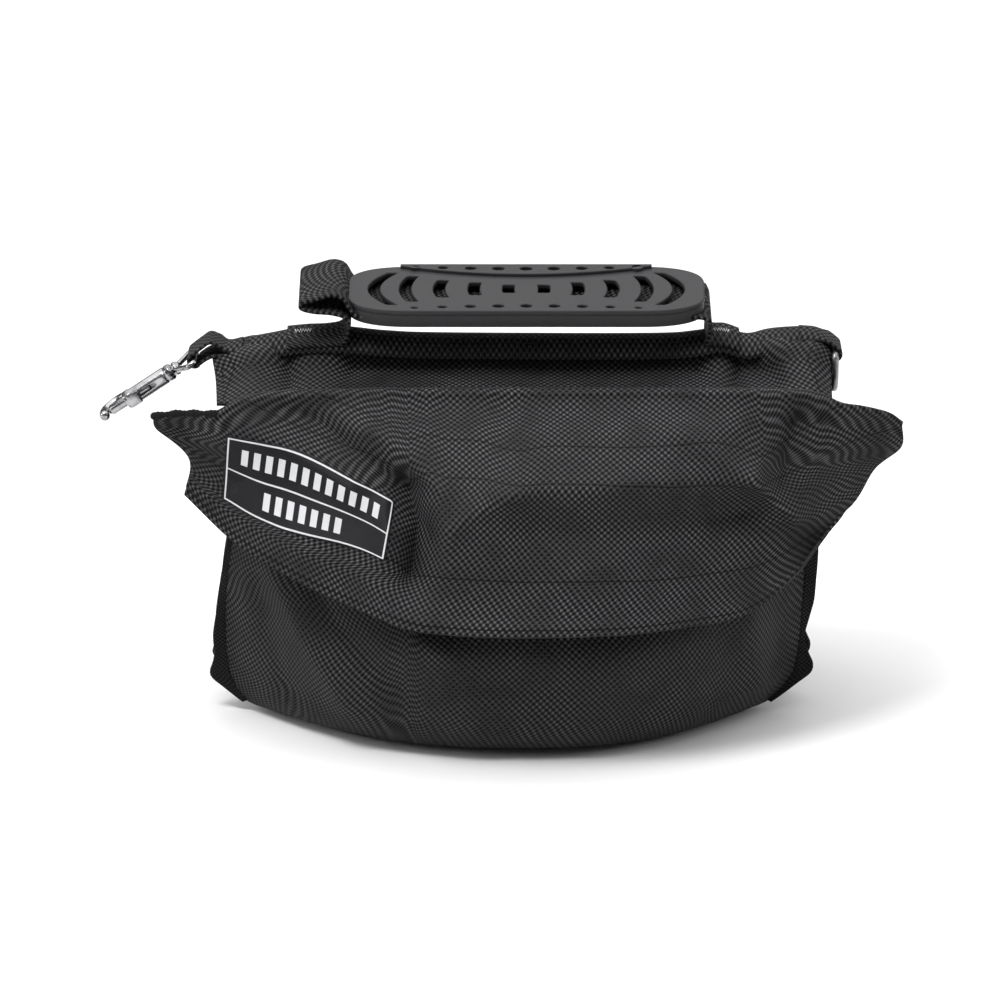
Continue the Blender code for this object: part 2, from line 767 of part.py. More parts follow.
def make_snap_bolt(axis):
    """The sprung bolt, and the knob that draws it back along its slot."""
    bolt = (
        (0.0, BOLT_TAIL),
        (BOLT_RADIUS, BOLT_TAIL),
        (BOLT_RADIUS, BOLT_TIP + 0.001),
        (BOLT_RADIUS - 0.001, BOLT_TIP),
        (0.0, BOLT_TIP),
    )
    turned_part("snap_bolt", bolt, "chrome", axis)
    knob = (
        (0.0, 0.0075),
        (0.0018, 0.0075),
        (0.0022, 0.0068),
        (0.0022, 0.0050),
        (KNOB_NECK, 0.0046),
        (KNOB_NECK, BOLT_RADIUS + 0.0002),
        (0.0, BOLT_RADIUS + 0.0002),
    )
    obj = turned_part("snap_knob", knob, "chrome", axis, steps=16)
    obj.location = (0.0, 0.0, KNOB_Z)
    obj.rotation_euler = (math.pi / 2, 0.0, 0.0)
    steps = SPRING_TURNS * 10
    low = BOLT_TAIL + 2 * SPRING_WIRE
    coil = []
    for i in range(steps + 1):
        angle = 2 * math.pi * i / 10
        z = low + (SPRING_TOP - low) * i / steps
        coil.append((SPRING_RADIUS * math.cos(angle), SPRING_RADIUS * math.sin(angle), z))
    spring = wire_curve("snap_spring", coil, SPRING_WIRE)
    spring.bevel_resolution = 0
    add_part("snap_spring", spring, "steel", axis)


front_flap_axis = make_pouch("front", FRONT)
make_pouch("rear", REAR)
make_label(front_flap_axis)
make_yoke()
make_spine_webbing()
make_loops()
make_handle()
make_ring()
make_snap()
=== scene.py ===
"""Looks of the saddle sandbag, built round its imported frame.

Lengths are in metres, and in millimetres only inside mm() and fold(). Bag coordinates are
(x, depth, z): x from the bag's middle, depth from the plane between the pouches, and z from the
floor. A side of -1 is the front and +1 is the rear.
"""

import math
from collections import namedtuple

import bmesh
import bpy
import numpy as np
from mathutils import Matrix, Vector


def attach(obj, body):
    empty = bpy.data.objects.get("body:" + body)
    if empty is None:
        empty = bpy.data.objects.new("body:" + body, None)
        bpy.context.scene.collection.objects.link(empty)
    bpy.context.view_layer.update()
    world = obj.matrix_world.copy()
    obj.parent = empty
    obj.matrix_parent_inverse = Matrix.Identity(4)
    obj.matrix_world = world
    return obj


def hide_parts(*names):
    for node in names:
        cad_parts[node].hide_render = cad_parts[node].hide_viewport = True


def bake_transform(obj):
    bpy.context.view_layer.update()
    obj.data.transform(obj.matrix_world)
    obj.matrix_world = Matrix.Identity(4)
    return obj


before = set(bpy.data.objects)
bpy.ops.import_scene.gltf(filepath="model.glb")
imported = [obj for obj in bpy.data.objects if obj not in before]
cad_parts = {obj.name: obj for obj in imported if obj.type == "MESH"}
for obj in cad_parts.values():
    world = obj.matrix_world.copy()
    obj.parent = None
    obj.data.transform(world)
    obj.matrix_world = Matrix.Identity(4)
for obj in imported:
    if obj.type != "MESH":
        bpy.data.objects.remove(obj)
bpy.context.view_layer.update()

FRONT = -1
REAR = 1
BAG_CENTRE_X = 0.0135


def mm(*points):
    """Points given in millimetres, as an array in metres."""
    return np.array(points) / 1000


def fold(half_width, height, *path):
    """A fold in the cloth along a path of (x, z): its half width and how far it stands out."""
    return mm(*path), half_width / 1000, height / 1000


# Pouch: (z, half width, back depth, front depth, seam depth), from the foot to the mouth.
POUCH_STATIONS = mm(
    (0, 122, 14, 72, 24), (5, 139, 7, 88, 20), (20, 149, 4, 100, 16), (55, 151, 4, 106, 16),
    (100, 148, 4, 102, 18), (130, 145, 8, 90, 23), (152, 144, 21, 74, 34), (168, 143, 36, 53, 44),
)
MOUTH_Z = POUCH_STATIONS[-1, 0]
# Cloth turned over the mouth, down inside it: (how far in, how far down).
MOUTH_HEM = mm((0.8, -0.6), (2, 0.4), (2.2, 4), (2.2, 12))
# Half of the least gap between the two pouches
HALF_GAP = 0.0032

# Folds in the cloth of each pouch and flap
FRONT_FLAP_FOLDS = (
    fold(10, 7.8, (-12, 140), (55, 141.5), (112, 140)),
    fold(8, 6, (-36, 123), (-22, 132), (-4, 140)),
    fold(9, 4.5, (-40, 130), (-38, 106)),
    fold(15, -9.5, (5, 120), (55, 116), (104, 119)),
    fold(8, -8, (-128, 175), (-98, 160), (-74, 146), (-62, 139)),
    fold(6.5, -13.5, (-56, 135), (-52, 120), (-55, 98)),
    fold(6, 4.5, (-68, 130), (-67, 118), (-69, 106)),
    fold(8, 5, (-90, 172), (-62, 156), (-42, 140)),
    fold(9, 6.5, (60, 174), (92, 152), (122, 130)),
    fold(5, 5.5, (112, 142), (122, 128), (132, 118)),
    fold(7, -8, (136, 171), (129, 150), (126, 133)),
    fold(9, 4, (152, 168), (148, 148), (135, 124)),
    fold(10, 4, (-118, 112), (-84, 100), (-50, 80)),
    fold(9, 3, (-60, 73), (10, 72), (100, 72)),
    fold(9, 5, (-150, 162), (-120, 154), (-85, 138)),
    fold(8, -4, (-168, 156), (-156, 144), (-142, 132)),
)
REAR_FLAP_FOLDS = (
    fold(13, 4, (-110, 143), (-30, 146), (60, 139)),
    fold(10, -6, (118, 172), (92, 150), (66, 130)),
    fold(13, -7, (62, 128), (50, 118)),
    fold(10, -6.5, (-128, 170), (-126, 140), (-140, 120)),
    fold(12, 4, (-60, 173), (-90, 148), (-112, 124)),
    fold(16, -4, (-90, 112), (-10, 108), (30, 114)),
    fold(11, 3, (75, 112), (70, 80)),
    fold(10, 3, (-80, 69), (80, 69)),
)
FRONT_POUCH_FOLDS = (
    fold(9, 6, (-127, 82), (-110, 54), (-90, 26)),
    fold(6, 4, (-140, 80), (-142, 30)),
    fold(7, -4.5, (-133, 76), (-127, 45), (-118, 25)),
    fold(9, -4.5, (-112, 88), (-90, 62), (-66, 38)),
    fold(9, 5.5, (108, 74), (116, 50), (118, 25)),
    fold(7, -4.5, (122, 90), (128, 55), (126, 30)),
    fold(8, -3.5, (95, 68), (102, 40)),
    fold(7, 3.5, (-52, 64), (-40, 60)),
    fold(16, -2.5, (-20, 40), (60, 33)),
)
REAR_POUCH_FOLDS = (
    fold(12, 4, (126, 90), (112, 54), (94, 24)),
    fold(12, 3.5, (-130, 90), (-112, 60), (-100, 30)),
    fold(8, -3, (-142, 70), (-138, 30)),
    fold(16, -2.2, (30, 45), (-60, 34)),
)

# Flap outlines, as (x, z): the fold line, the hem and the two side edges between their ends.
FLAP_TOP_EDGE = mm(
    (-183, 164), (-168, 165.5), (-152, 167), (-135, 172.5), (-100, 175), (0, 175.8), (100, 175.5),
    (140, 174.5), (154, 172.2), (176, 166.5), (185, 160),
)
FLAP_HEM = mm(
    (-168, 123), (-145.5, 105), (-120, 93.5), (-97.5, 85), (-74, 79), (-47.5, 74.8), (0, 73.8), (60, 73.2),
    (93, 72.8), (113, 76.2), (132.5, 89), (145, 104),
)
FLAP_LEFT_EDGE = mm((-183, 164), (-181, 156), (-165.5, 141), (-168, 123))
FLAP_RIGHT_EDGE = mm((185, 160), (185, 146), (172.5, 135), (162.5, 119), (145, 104))
REAR_FLAP_TOP_EDGE = mm(
    (-150, 164), (-135, 170.5), (-100, 174.5), (0, 175.8), (100, 175), (135, 171), (151, 165),
)
REAR_FLAP_HEM = mm(
    (-150, 118), (-135, 100), (-110, 86.5), (-80, 77.5), (-40, 72.2), (10, 71.2), (50, 71.8), (85, 77.5),
    (112, 88), (136, 102), (149, 117),
)
REAR_FLAP_LEFT_EDGE = mm((-150, 164), (-153.5, 150), (-150.5, 134), (-150, 118))
REAR_FLAP_RIGHT_EDGE = mm((151, 165), (153, 150), (150, 135), (149, 117))

# Out from the pouch's plain face to the middle of the flap's cloth
FLAP_MIDDLE = 0.0056
# Past the pouch the flap's ears lie on a wider, flatter face, and the two faces meet in a rounding.
FLAP_SPREAD = 0.190
FLAP_STAND_OFF = 0.012
FLAP_ROUNDING = 0.004
# Where the flap folds over the pouch's mouth, and how far along the bag the fold reaches.
FOLD_DEPTH = 0.0485
FOLD_REACH = 0.158
# Cloth tucked in behind the fold line: (how far back, how far up).
FLAP_TUCK = mm((8.5, -1.2), (5.8, 0.6), (2.8, 0.9))
# How far under the flap's cloth the pouch's cloth stays, and how the hem rolls and flares out.
POUCH_UNDER_FLAP = 0.0052
HEM_ROLL = 0.0010
HEM_FLARE = 0.0050

# Hook and loop tapes, as the heights that each reaches between.
TAPE_HALF_LENGTH = 0.078
TAPES = {"upper": (0.149, 0.161), "lower": (0.081, 0.101)}
LOOP_TAPE_LIFT = 0.0008
HOOK_TAPE_DROP = 0.0014

# Thicknesses of cloth, film and webbing
WOVEN_CLOTH = 0.0016
SEAM_CLOTH = 0.0024
TAPE_CLOTH = 0.0010
FILM = 0.0006
SATIN = 0.0005
LOOP_WEBBING = 0.0014
STRAP_WEBBING = 0.0016

# Inside the pouch: how far the liner and the sand lie in from the cloth, and the sand's level.
LINER_INSET = 0.0036
SAND_INSET = 0.0075
SAND_LEVEL = 0.1405

# Label: its edges as (x, z), and what is printed on it, measured from its middle.
LABEL_SIZE = (0.084, 0.036)
LABEL_TOP = mm((-146.5, 156.5), (-127, 154.5), (-106.5, 150), (-70, 135), (-64, 131))
LABEL_BOTTOM = mm((-149, 122.5), (-133, 116), (-112.5, 112.8), (-90, 110), (-68.5, 106))
# Height of the label over the middle of the flap's cloth.
LABEL_LIFT = 0.0013
LABEL_INSET = 0.0012
LABEL_LINE = 0.0008
LABEL_RULE = -0.0010
# Rows of bars: (middle height, half height, from, to, pitch).
LABEL_BARS = ((0.008, 0.0041, -0.034, 0.035, 0.006), (-0.009, 0.0039, -0.021, 0.02, 0.006))
BAR_SHARE = 0.55

# Rings of the pouch's flat base, whose cloth lies straight along the bag.
BASE_RINGS = 15

# The hollow that the hem presses into the pouch under it.
HOLLOW_DROP = 0.002
HOLLOW_DEPTH = 0.0080
HOLLOW_HEIGHT = 0.011

# How far each end of a pouch reaches at these heights, as a share of its half width.
POUCH_TRIM_Z = (0.000, 0.020, 0.055, 0.100, 0.135)
POUCH_TRIM_LEFT = (1.00, 1.00, 1.00, 0.985, 1.00)
POUCH_TRIM_RIGHT = (0.86, 0.91, 0.925, 0.955, 1.00)

# Seam allowance beyond each end of a pouch: heights, then widths.
FLANGE_Z = (0.006, 0.014, 0.0190, 0.024, 0.030, 0.040, 0.058, 0.085, 0.120, 0.166)
FLANGE_LEFT = (0.002, 0.0065, 0.0120, 0.0085, 0.0062, 0.0066, 0.0042, 0.0030, 0.0040, 0.0035)
FLANGE_RIGHT = (0.002, 0.0045, 0.0085, 0.0105, 0.0060, 0.0020, 0.0060, 0.0066, 0.0045, 0.0035)

# The yoke's ridge, as (x, z), and its section: depth, and the share of the drop to the crease.
YOKE_RIDGE = mm(
    (-156, 181), (-150, 183.8), (-140, 186.5), (-125, 189.5), (-112, 191.8), (-90, 192.5), (-70, 190.5),
    (-40, 189.3), (60, 189), (85, 190.5), (97, 192.5), (110, 189), (122, 191.5), (138, 192.5), (146, 190.5),
    (152, 185),
)
YOKE_SECTION = (
    (0.0, 0.0), (0.005, 0.03), (0.0085, 0.11), (0.011, 0.24), (0.013, 0.42), (0.016, 0.6), (0.023, 0.78),
    (0.033, 0.94), (0.0375, 1.0), (0.0415, 1.05),
)
YOKE_CREASE_Z = 0.1685
YOKE_CROWN_Z = 0.1915
YOKE_LEFT = -0.1550
YOKE_RIGHT = 0.1510
YOKE_FOLDS = (
    fold(5, -5.5, (-117, 190), (-117, 179), (-114, 168)),
    fold(13, 6, (-136, 184), (-135, 172)),
    fold(5, -5.5, (104, 191), (106, 179), (103, 168)),
    fold(8, 5.5, (121, 190), (130, 177)),
    fold(7, 5, (144, 187), (142, 174)),
    fold(6, -4.5, (116, 179), (124, 173)),
    fold(7, -7, (-85, 180), (85, 179)),
)

# Handle
GRIP_CENTRE_X = 0.0005
GRIP_BOTTOM = 0.2065
GRIP_HEIGHT = 0.0095
GRIP_PLATE = 0.003
LIP_HALF_LENGTH = 0.062
GRIP_TILT = math.radians(11)
# Slots to each side of the grip's middle: (x, length, how far it bows out).
GRIP_SLOTS = mm((8.5, 9, 0.4), (25, 14, 1), (41, 19, 2.2), (56, 28, 4), (66, 35, 9.5))
SPINE_WIDTH = 0.025
SPINE_WEBBING = 0.0015
LOOP_WIDTH = 0.020
LOOP_RADIUS = 0.0031
STRAP_WIDTH = 0.038
STRAP_END_WIDTH = 0.024
STRAP_PATH = mm(
    (-118, 194.5), (-108, 195.5), (-98, 196), (-90.5, 197.8), (-86.8, 204), (-88.8, 209), (-95.5, 211.2),
    (-104.5, 212), (-110.6, 213.8), (-110, 216.6), (-103, 218.6), (-95.5, 220.6), (-90, 219), (-86.8, 214),
    (-83.5, 210.2), (-78, 209.2), (-60, 209.2), (0, 209.2), (60, 209.2), (85, 209.2), (90.5, 207),
    (91.2, 203), (90, 198.5), (93, 196.3), (99, 196), (106, 193.5),
)

# Loops at the yoke's ends, as (x, z): the webbing that leads to the bar, and its tail after it.
HOOK_LOOP_LEAD = mm((-140, 189), (-148, 186.8), (-152.5, 188.6), (-156.5, 189.8), (-160.2, 187.4))
HOOK_LOOP_TAIL = mm((-155.5, 182.6), (-148, 182.8))
RING_LOOP_LEAD = mm((136, 195), (144, 194), (151, 190))
RING_LOOP_TAIL = mm((148, 185), (144, 186.5))

# Ring and snap
RING_X = 0.1535
RING_Z = 0.184
RING_HALF_WIDTH = 0.0135
RING_WIRE = 0.0036
EYE_X = -0.1640
EYE_Z = 0.1805
SNAP_SLOPE = math.radians(34)

# The snap's parts, along its own Z from its eye at 0 to its nose. The profiles are (radius, z).
EYE_WIRE = mm(
    (0, -1.6, -11.2), (0, -4.6, -10.6), (0, -10.3, -6), (0, -12.5, -4), (0, -12.5, -1), (0, -11.3, 0),
    (0, -8.5, 0),
)
EYE_STUD = mm(
    (0.1, -9.2), (2.2, -9.2), (3.6, -11.2), (3.6, -12.6), (1.6, -13), (1.6, -16), (2.6, -16), (2.6, -17.6),
    (0.1, -17.6),
)
BARREL = mm(
    (1.9, -13.5), (3.4, -13.5), (4.3, -14.8), (4.3, -16.8), (4, -17.2), (4, -18), (4.3, -18.4),
    (4.3, -38.2), (4.7, -38.6), (4.7, -41.6), (4.3, -42), (3, -42), (3, -15.5), (1.9, -15.5),
)
# Path of the hook, as (y, z).
HOOK_ARM = mm((5, -33), (8, -38.5), (10.8, -43), (11.2, -49), (8, -53.5), (3.5, -55.2), (-2.2, -54.8))
# How thick the hook is: (share of the way along it, radius).
HOOK_RADII = ((0.0, 0.0020), (0.2, 0.0023), (0.6, 0.0024), (0.9, 0.0028), (1.0, 0.0026))
BOLT_ROD = mm((0.1, -27.5), (2.6, -27.5), (2.6, -50.5), (1.7, -52), (0.1, -52))
KNOB_STEM = mm((0.1, 2), (1.1, 2), (1.1, 4.8), (2.4, 5), (2.4, 6.2), (0.1, 6.2))
KNOB_Z = -0.0365
SPRING_TURNS = 6
SPRING_RADIUS = 0.0022
SPRING_SPAN = (-0.0269, -0.0183)

# Woven cloth: the period of the weave, and its colours: the pit colour is painted shade and the crown
# colours are painted highlights
PIT_SHADE = (0.001, 0.001, 0.001)
YARN = (0.027, 0.0265, 0.0282)
CROWN_HIGHLIGHT = (0.125, 0.122, 0.130)
WEAVE_PITCH = (0.00168, 0.00168)
# The pouch's colours are a darker copy of the flap's: painted shade.
SHADED_POUCH_YARN = (0.025, 0.0247, 0.0262)
SHADED_POUCH_CROWN_HIGHLIGHT = (0.078, 0.076, 0.081)
STITCH_HALF_WIDTH = 0.00035

# Studio
VIEW_ELEVATION = math.radians(18)
CAMERA_DISTANCE = 3.2
CAMERA_TARGET = Vector((0.001, 0.0, 0.105))


# Materials


class Recipe:
    """A material's node tree, with short ways to add to it."""

    def __init__(self, name, color, roughness, metallic=0.0):
        self.material = bpy.data.materials.new(name)
        self.material.use_nodes = True
        self.tree = self.material.node_tree
        self.shader = self.tree.nodes["Principled BSDF"]
        self.shader.inputs["Base Color"].default_value = (*color, 1.0)
        self.shader.inputs["Roughness"].default_value = roughness
        self.shader.inputs["Metallic"].default_value = metallic

    def node(self, kind, **settings):
        made = self.tree.nodes.new(kind)
        for name, value in settings.items():
            setattr(made, name, value)
        return made

    def feed(self, socket, value):
        if isinstance(value, bpy.types.NodeSocket):
            self.tree.links.new(value, socket)
        else:
            socket.default_value = value

    def math(self, operation, *values):
        made = self.node("ShaderNodeMath", operation=operation)
        for socket, value in zip(made.inputs, values):
            self.feed(socket, value)
        return made.outputs[0]

    def between(self, value, low, high):
        """0 below low and 1 above high, with a straight ramp between."""
        made = self.node("ShaderNodeMapRange", clamp=True)
        for name, item in (("Value", value), ("From Min", low), ("From Max", high)):
            self.feed(made.inputs[name], item)
        return made.outputs[0]

    def mix(self, share, first, second):
        made = self.node("ShaderNodeMix", data_type="RGBA")
        self.feed(made.inputs[0], share)
        for socket, color in ((made.inputs[6], first), (made.inputs[7], second)):
            self.feed(socket, color if isinstance(color, bpy.types.NodeSocket) else (*color, 1.0))
        return made.outputs[2]

    def mix_value(self, share, first, second):
        made = self.node("ShaderNodeMix", data_type="FLOAT")
        for socket, value in zip(made.inputs[:1] + made.inputs[2:4], (share, first, second)):
            self.feed(socket, value)
        return made.outputs[0]

    def noise(self, scale, detail=3.0, roughness=0.5):
        """Noise over the piece's own coordinates."""
        made = self.node("ShaderNodeTexNoise")
        made.inputs["Scale"].default_value = scale
        made.inputs["Detail"].default_value = detail
        made.inputs["Roughness"].default_value = roughness
        self.feed(made.inputs["Vector"], self.node("ShaderNodeTexCoord").outputs["Object"])
        return made.outputs[0]

    def cloth_place(self):
        """(u, v) on the flat cloth, in metres."""
        split = self.node("ShaderNodeSeparateXYZ")
        self.feed(split.inputs[0], self.node("ShaderNodeUVMap", uv_map="UVMap").outputs[0])
        return split.outputs[0], split.outputs[1]

    def bump(self, height, distance, strength=1.0):
        made = self.node("ShaderNodeBump")
        made.inputs["Strength"].default_value = strength
        made.inputs["Distance"].default_value = distance
        self.feed(made.inputs["Height"], height)
        self.feed(self.shader.inputs["Normal"], made.outputs[0])

    def set(self, name, value):
        if isinstance(value, tuple):
            value = (*value, 1.0)
        self.feed(self.shader.inputs[name], value)


def stitch_rows(recipe, across, along):
    """1 on the rows of stitches that run at these lengths from the middle and from the hem."""
    u, v = recipe.cloth_place()
    rows = [(recipe.math("ABSOLUTE", u), place_u) for place_u in across]
    rows += [(v, place_v) for place_v in along]
    total = 0.0
    for value, middle in rows:
        total = recipe.math("MAXIMUM", total, recipe.math("COMPARE", value, middle, STITCH_HALF_WIDTH))
    return total


def cloth_material(name, pitch, pit_shade, yarn, crown, relief, across=(), along=()):
    """A plain weave: painted shade in the pits where the lengthwise yarns dive, and painted highlights on
    the crowns of the crosswise ones.
    """
    recipe = Recipe(name, yarn, 0.6)
    u, v = recipe.cloth_place()
    u = recipe.math("DIVIDE", u, pitch[0])
    v = recipe.math("DIVIDE", v, pitch[1])
    cells = recipe.math("ADD", recipe.math("FLOOR", u), recipe.math("FLOOR", v))
    dives = recipe.math("PINGPONG", cells, 1.0)
    arc_u = recipe.math("SINE", recipe.math("MULTIPLY", recipe.math("FRACT", u), math.pi))
    arc_v = recipe.math("SINE", recipe.math("MULTIPLY", recipe.math("FRACT", v), math.pi))
    dome = recipe.math("MULTIPLY", arc_u, arc_v)
    oblong = recipe.math("MULTIPLY", recipe.math("SQRT", arc_u), arc_v)
    # Painted shade: the pits are darkened towards the near-black pit colour.
    shaded_pit = recipe.math("MULTIPLY", dives, recipe.between(oblong, 0.22, 0.62))
    stays = recipe.math("SUBTRACT", 1.0, dives)
    rise = recipe.math("MULTIPLY", stays, recipe.between(dome, 0.25, 0.95))
    # Noise that picks where the painted highlights fall, and sets the roughness.
    glint_and_roughness_noise = recipe.noise(55.0)
    glint = recipe.math("MULTIPLY", rise, recipe.between(glint_and_roughness_noise, 0.30, 0.70))
    body = recipe.mix(shaded_pit, yarn, pit_shade)
    # Painted highlight: the glinting crowns are lightened towards the crown colour.
    body = recipe.mix(glint, body, crown)
    recipe.set("Roughness", recipe.mix_value(glint_and_roughness_noise, 0.52, 0.72))
    fibres = recipe.noise(2400.0, 2.0)
    humps = recipe.math("MULTIPLY_ADD", rise, 0.5, 0.5)
    height = recipe.math("SUBTRACT", humps, recipe.math("MULTIPLY", shaded_pit, 0.5))
    height = recipe.math("MULTIPLY_ADD", fibres, 0.12, height)
    if across or along:
        rows = stitch_rows(recipe, across, along)
        # Painted shade: the rows of stitches are darkened with the same pit colour.
        body = recipe.mix(recipe.math("MULTIPLY", rows, 0.75), body, pit_shade)
        height = recipe.math("SUBTRACT", height, rows)
    recipe.set("Base Color", body)
    recipe.bump(height, relief)
    recipe.set("Specular IOR Level", recipe.mix_value(glint, 0.12, 0.45))
    return recipe.material


def tape_material():
    recipe = Recipe("hook_and_loop_fuzz", (0.009, 0.009, 0.010), 0.9)
    pile = recipe.noise(1500.0, 4.0)
    recipe.set("Base Color", recipe.mix(pile, (0.004, 0.004, 0.0045), (0.022, 0.022, 0.0235)))
    recipe.bump(pile, 0.0012)
    recipe.set("Specular IOR Level", 0.10)
    return recipe.material


def liner_material():
    recipe = Recipe("liner_film_creased", (0.55, 0.56, 0.58), 0.35)
    creases = recipe.noise(70.0, 5.0, roughness=0.65)
    recipe.set("Base Color", recipe.mix(creases, (0.46, 0.47, 0.49), (0.66, 0.67, 0.69)))
    recipe.set("Roughness", recipe.mix_value(creases, 0.22, 0.5))
    recipe.bump(creases, 0.0015)
    return recipe.material


def sand_material():
    recipe = Recipe("sand_grains", (0.52, 0.40, 0.26), 0.95)
    grain = recipe.noise(1400.0, 2.0, roughness=0.8)
    patch = recipe.noise(90.0)
    body = recipe.mix(patch, (0.40, 0.29, 0.18), (0.60, 0.47, 0.32))
    recipe.set("Base Color", recipe.mix(recipe.between(grain, 0.35, 0.68), (0.20, 0.14, 0.09), body))
    recipe.bump(grain, 0.0012)
    return recipe.material


def rubber_material():
    recipe = Recipe("grip_rubber_moulded", (0.024, 0.023, 0.025), 0.5)
    fine = recipe.noise(1800.0, 2.0)
    smear = recipe.noise(45.0)
    recipe.set("Base Color", recipe.mix(smear, (0.020, 0.0195, 0.021), (0.028, 0.027, 0.030)))
    recipe.set("Roughness", recipe.mix_value(smear, 0.44, 0.58))
    recipe.set("Specular IOR Level", 0.34)
    recipe.bump(fine, 0.00012)
    return recipe.material


def metal_material(name, color, roughness, wear):
    recipe = Recipe(name, color, roughness, 1.0)
    smear = recipe.noise(160.0, 4.0)
    fine = recipe.noise(900.0)
    dull = tuple(0.55 * channel for channel in color)
    recipe.set("Base Color", recipe.mix(recipe.between(smear, 0.35, 0.6), dull, color))
    recipe.set("Roughness", recipe.mix_value(smear, roughness, roughness + wear))
    recipe.bump(fine, 0.00006)
    return recipe.material


def label_material():
    """Black satin with a pale border, a rule across it and two rows of plain bars."""
    recipe = Recipe("label_satin_printed", (0.010, 0.010, 0.011), 0.38)
    u, v = recipe.cloth_place()
    width, height = LABEL_SIZE
    side = recipe.math("SUBTRACT", width / 2, recipe.math("ABSOLUTE", u))
    end = recipe.math("SUBTRACT", height / 2, recipe.math("ABSOLUTE", v))
    edge = recipe.math("MINIMUM", side, end)
    border = recipe.math("COMPARE", edge, LABEL_INSET, LABEL_LINE / 2)
    rule = recipe.math("COMPARE", v, LABEL_RULE, LABEL_LINE / 2)
    inside = recipe.math("GREATER_THAN", edge, LABEL_INSET)
    ink = recipe.math("MAXIMUM", border, recipe.math("MULTIPLY", rule, inside))
    for middle, half_height, low, high, pitch in LABEL_BARS:
        row = recipe.math("COMPARE", v, middle, half_height)
        span = recipe.math("COMPARE", u, (low + high) / 2, (high - low) / 2)
        beat = recipe.math("FRACT", recipe.math("DIVIDE", recipe.math("SUBTRACT", u, low), pitch))
        bars = recipe.math("LESS_THAN", beat, BAR_SHARE)
        ink = recipe.math("MAXIMUM", ink, recipe.math("MULTIPLY", row, recipe.math("MULTIPLY", span, bars)))
    threads = recipe.node("ShaderNodeTexWave", bands_direction="Y")
    threads.inputs["Scale"].default_value = 500.0
    recipe.feed(threads.inputs["Vector"], recipe.node("ShaderNodeUVMap", uv_map="UVMap").outputs[0])
    ground = recipe.mix(threads.outputs[1], (0.006, 0.006, 0.007), (0.014, 0.014, 0.016))
    recipe.set("Base Color", recipe.mix(ink, ground, (0.62, 0.62, 0.64)))
    recipe.set("Roughness", recipe.mix_value(ink, 0.40, 0.75))
    recipe.set("Specular IOR Level", 0.12)
    recipe.bump(threads.outputs[1], 0.00008)
    return recipe.material


# The pouch's cloth takes the darker copy of the weave's colours: painted shade.
WOVEN = cloth_material("woven_fabric_basket", WEAVE_PITCH, PIT_SHADE, SHADED_POUCH_YARN, SHADED_POUCH_CROWN_HIGHLIGHT, 0.0007)
FLAP_CLOTH = cloth_material(
    "woven_fabric_flap", WEAVE_PITCH, PIT_SHADE, YARN, CROWN_HIGHLIGHT, 0.0007, along=(0.0035, 0.0290, 0.0800, 0.1020)
)
YOKE_CLOTH = cloth_material("woven_fabric_yoke", WEAVE_PITCH, PIT_SHADE, YARN, CROWN_HIGHLIGHT, 0.0007, across=(0.1475,))
# The pale crown colours of the webbing and of the binding are painted highlights.
WEBBED = cloth_material(
    "webbing_ribbed", (0.0026, 0.0015), PIT_SHADE, (0.026, 0.0255, 0.027), (0.110, 0.108, 0.114), 0.0010
)
BINDING = cloth_material(
    "binding_ribbed", (0.0012, 0.0010), PIT_SHADE, (0.009, 0.009, 0.0095), (0.022, 0.022, 0.023), 0.0005
)
THREAD = Recipe("bar_tack_thread", (0.55, 0.55, 0.56), 0.7).material
TAPE = tape_material()
LINER = liner_material()
SAND = sand_material()
RUBBER = rubber_material()
CHROME = metal_material("snap_chrome_plated", (0.41, 0.41, 0.42), 0.14, 0.16)
STEEL = metal_material("ring_steel_plated", (0.26, 0.26, 0.27), 0.28, 0.18)
LABEL = label_material()
FLOOR = Recipe("studio_floor", (0.86, 0.86, 0.86), 0.9).material


# Shapes


def curve_through(points, count):
    """Evenly spaced points along the smooth curve through the given ones."""
    points = np.array(points, float)
    ends = np.vstack([2 * points[0] - points[1], points, 2 * points[-1] - points[-2]])
    t = np.linspace(0, 1, 24, endpoint=False)[:, None]
    spans = []
    for before, start, end, after in zip(ends, ends[1:], ends[2:], ends[3:]):
        bend = (end - before) * t + (2 * before - 5 * start + 4 * end - after) * t**2
        spans.append(start + (bend + (3 * start - before - 3 * end + after) * t**3) / 2)
    path = np.vstack([*spans, points[-1:]])
    length = np.concatenate([[0], np.cumsum(np.linalg.norm(np.diff(path, axis=0), axis=1))])
    even = np.linspace(0, length[-1], count)
    return np.stack([np.interp(even, length, column) for column in path.T], axis=1)


Section = namedtuple("Section", "half_width back front seam")


def pouch_at(z):
    """The pouch's section at each height, on smooth curves through the stations."""
    z = np.clip(z, 0, MOUTH_Z)
    last = len(POUCH_STATIONS) - 1
    upper = np.clip(np.searchsorted(POUCH_STATIONS[:, 0], z), 1, last)
    before, start, end, after = (POUCH_STATIONS[np.clip(upper + k, 0, last)] for k in (-2, -1, 0, 1))
    span = (end - start)[..., :1]
    t = (z[..., None] - start[..., :1]) / span
    leave = (end - before) / (end - before)[..., :1] * span
    arrive = (after - start) / (after - start)[..., :1] * span
    values = start * (2 * t**3 - 3 * t**2 + 1) + leave * (t**3 - 2 * t**2 + t)
    values = values + end * (3 * t**2 - 2 * t**3) + arrive * (t**3 - t**2)
    return Section(*(values[..., column] for column in range(1, 5)))


def bulge(share):
    """1 in the middle of a filled face and 0 at its ends."""
    return (1 - np.minimum(np.abs(share), 1.0) ** 2.5) ** 1.1


def outer_depth(at, share, inset=0.0):
    """Depth of the pouch's outer face, or of what lies that far inside it."""
    return at.seam + (at.front - inset - at.seam) * bulge(share)


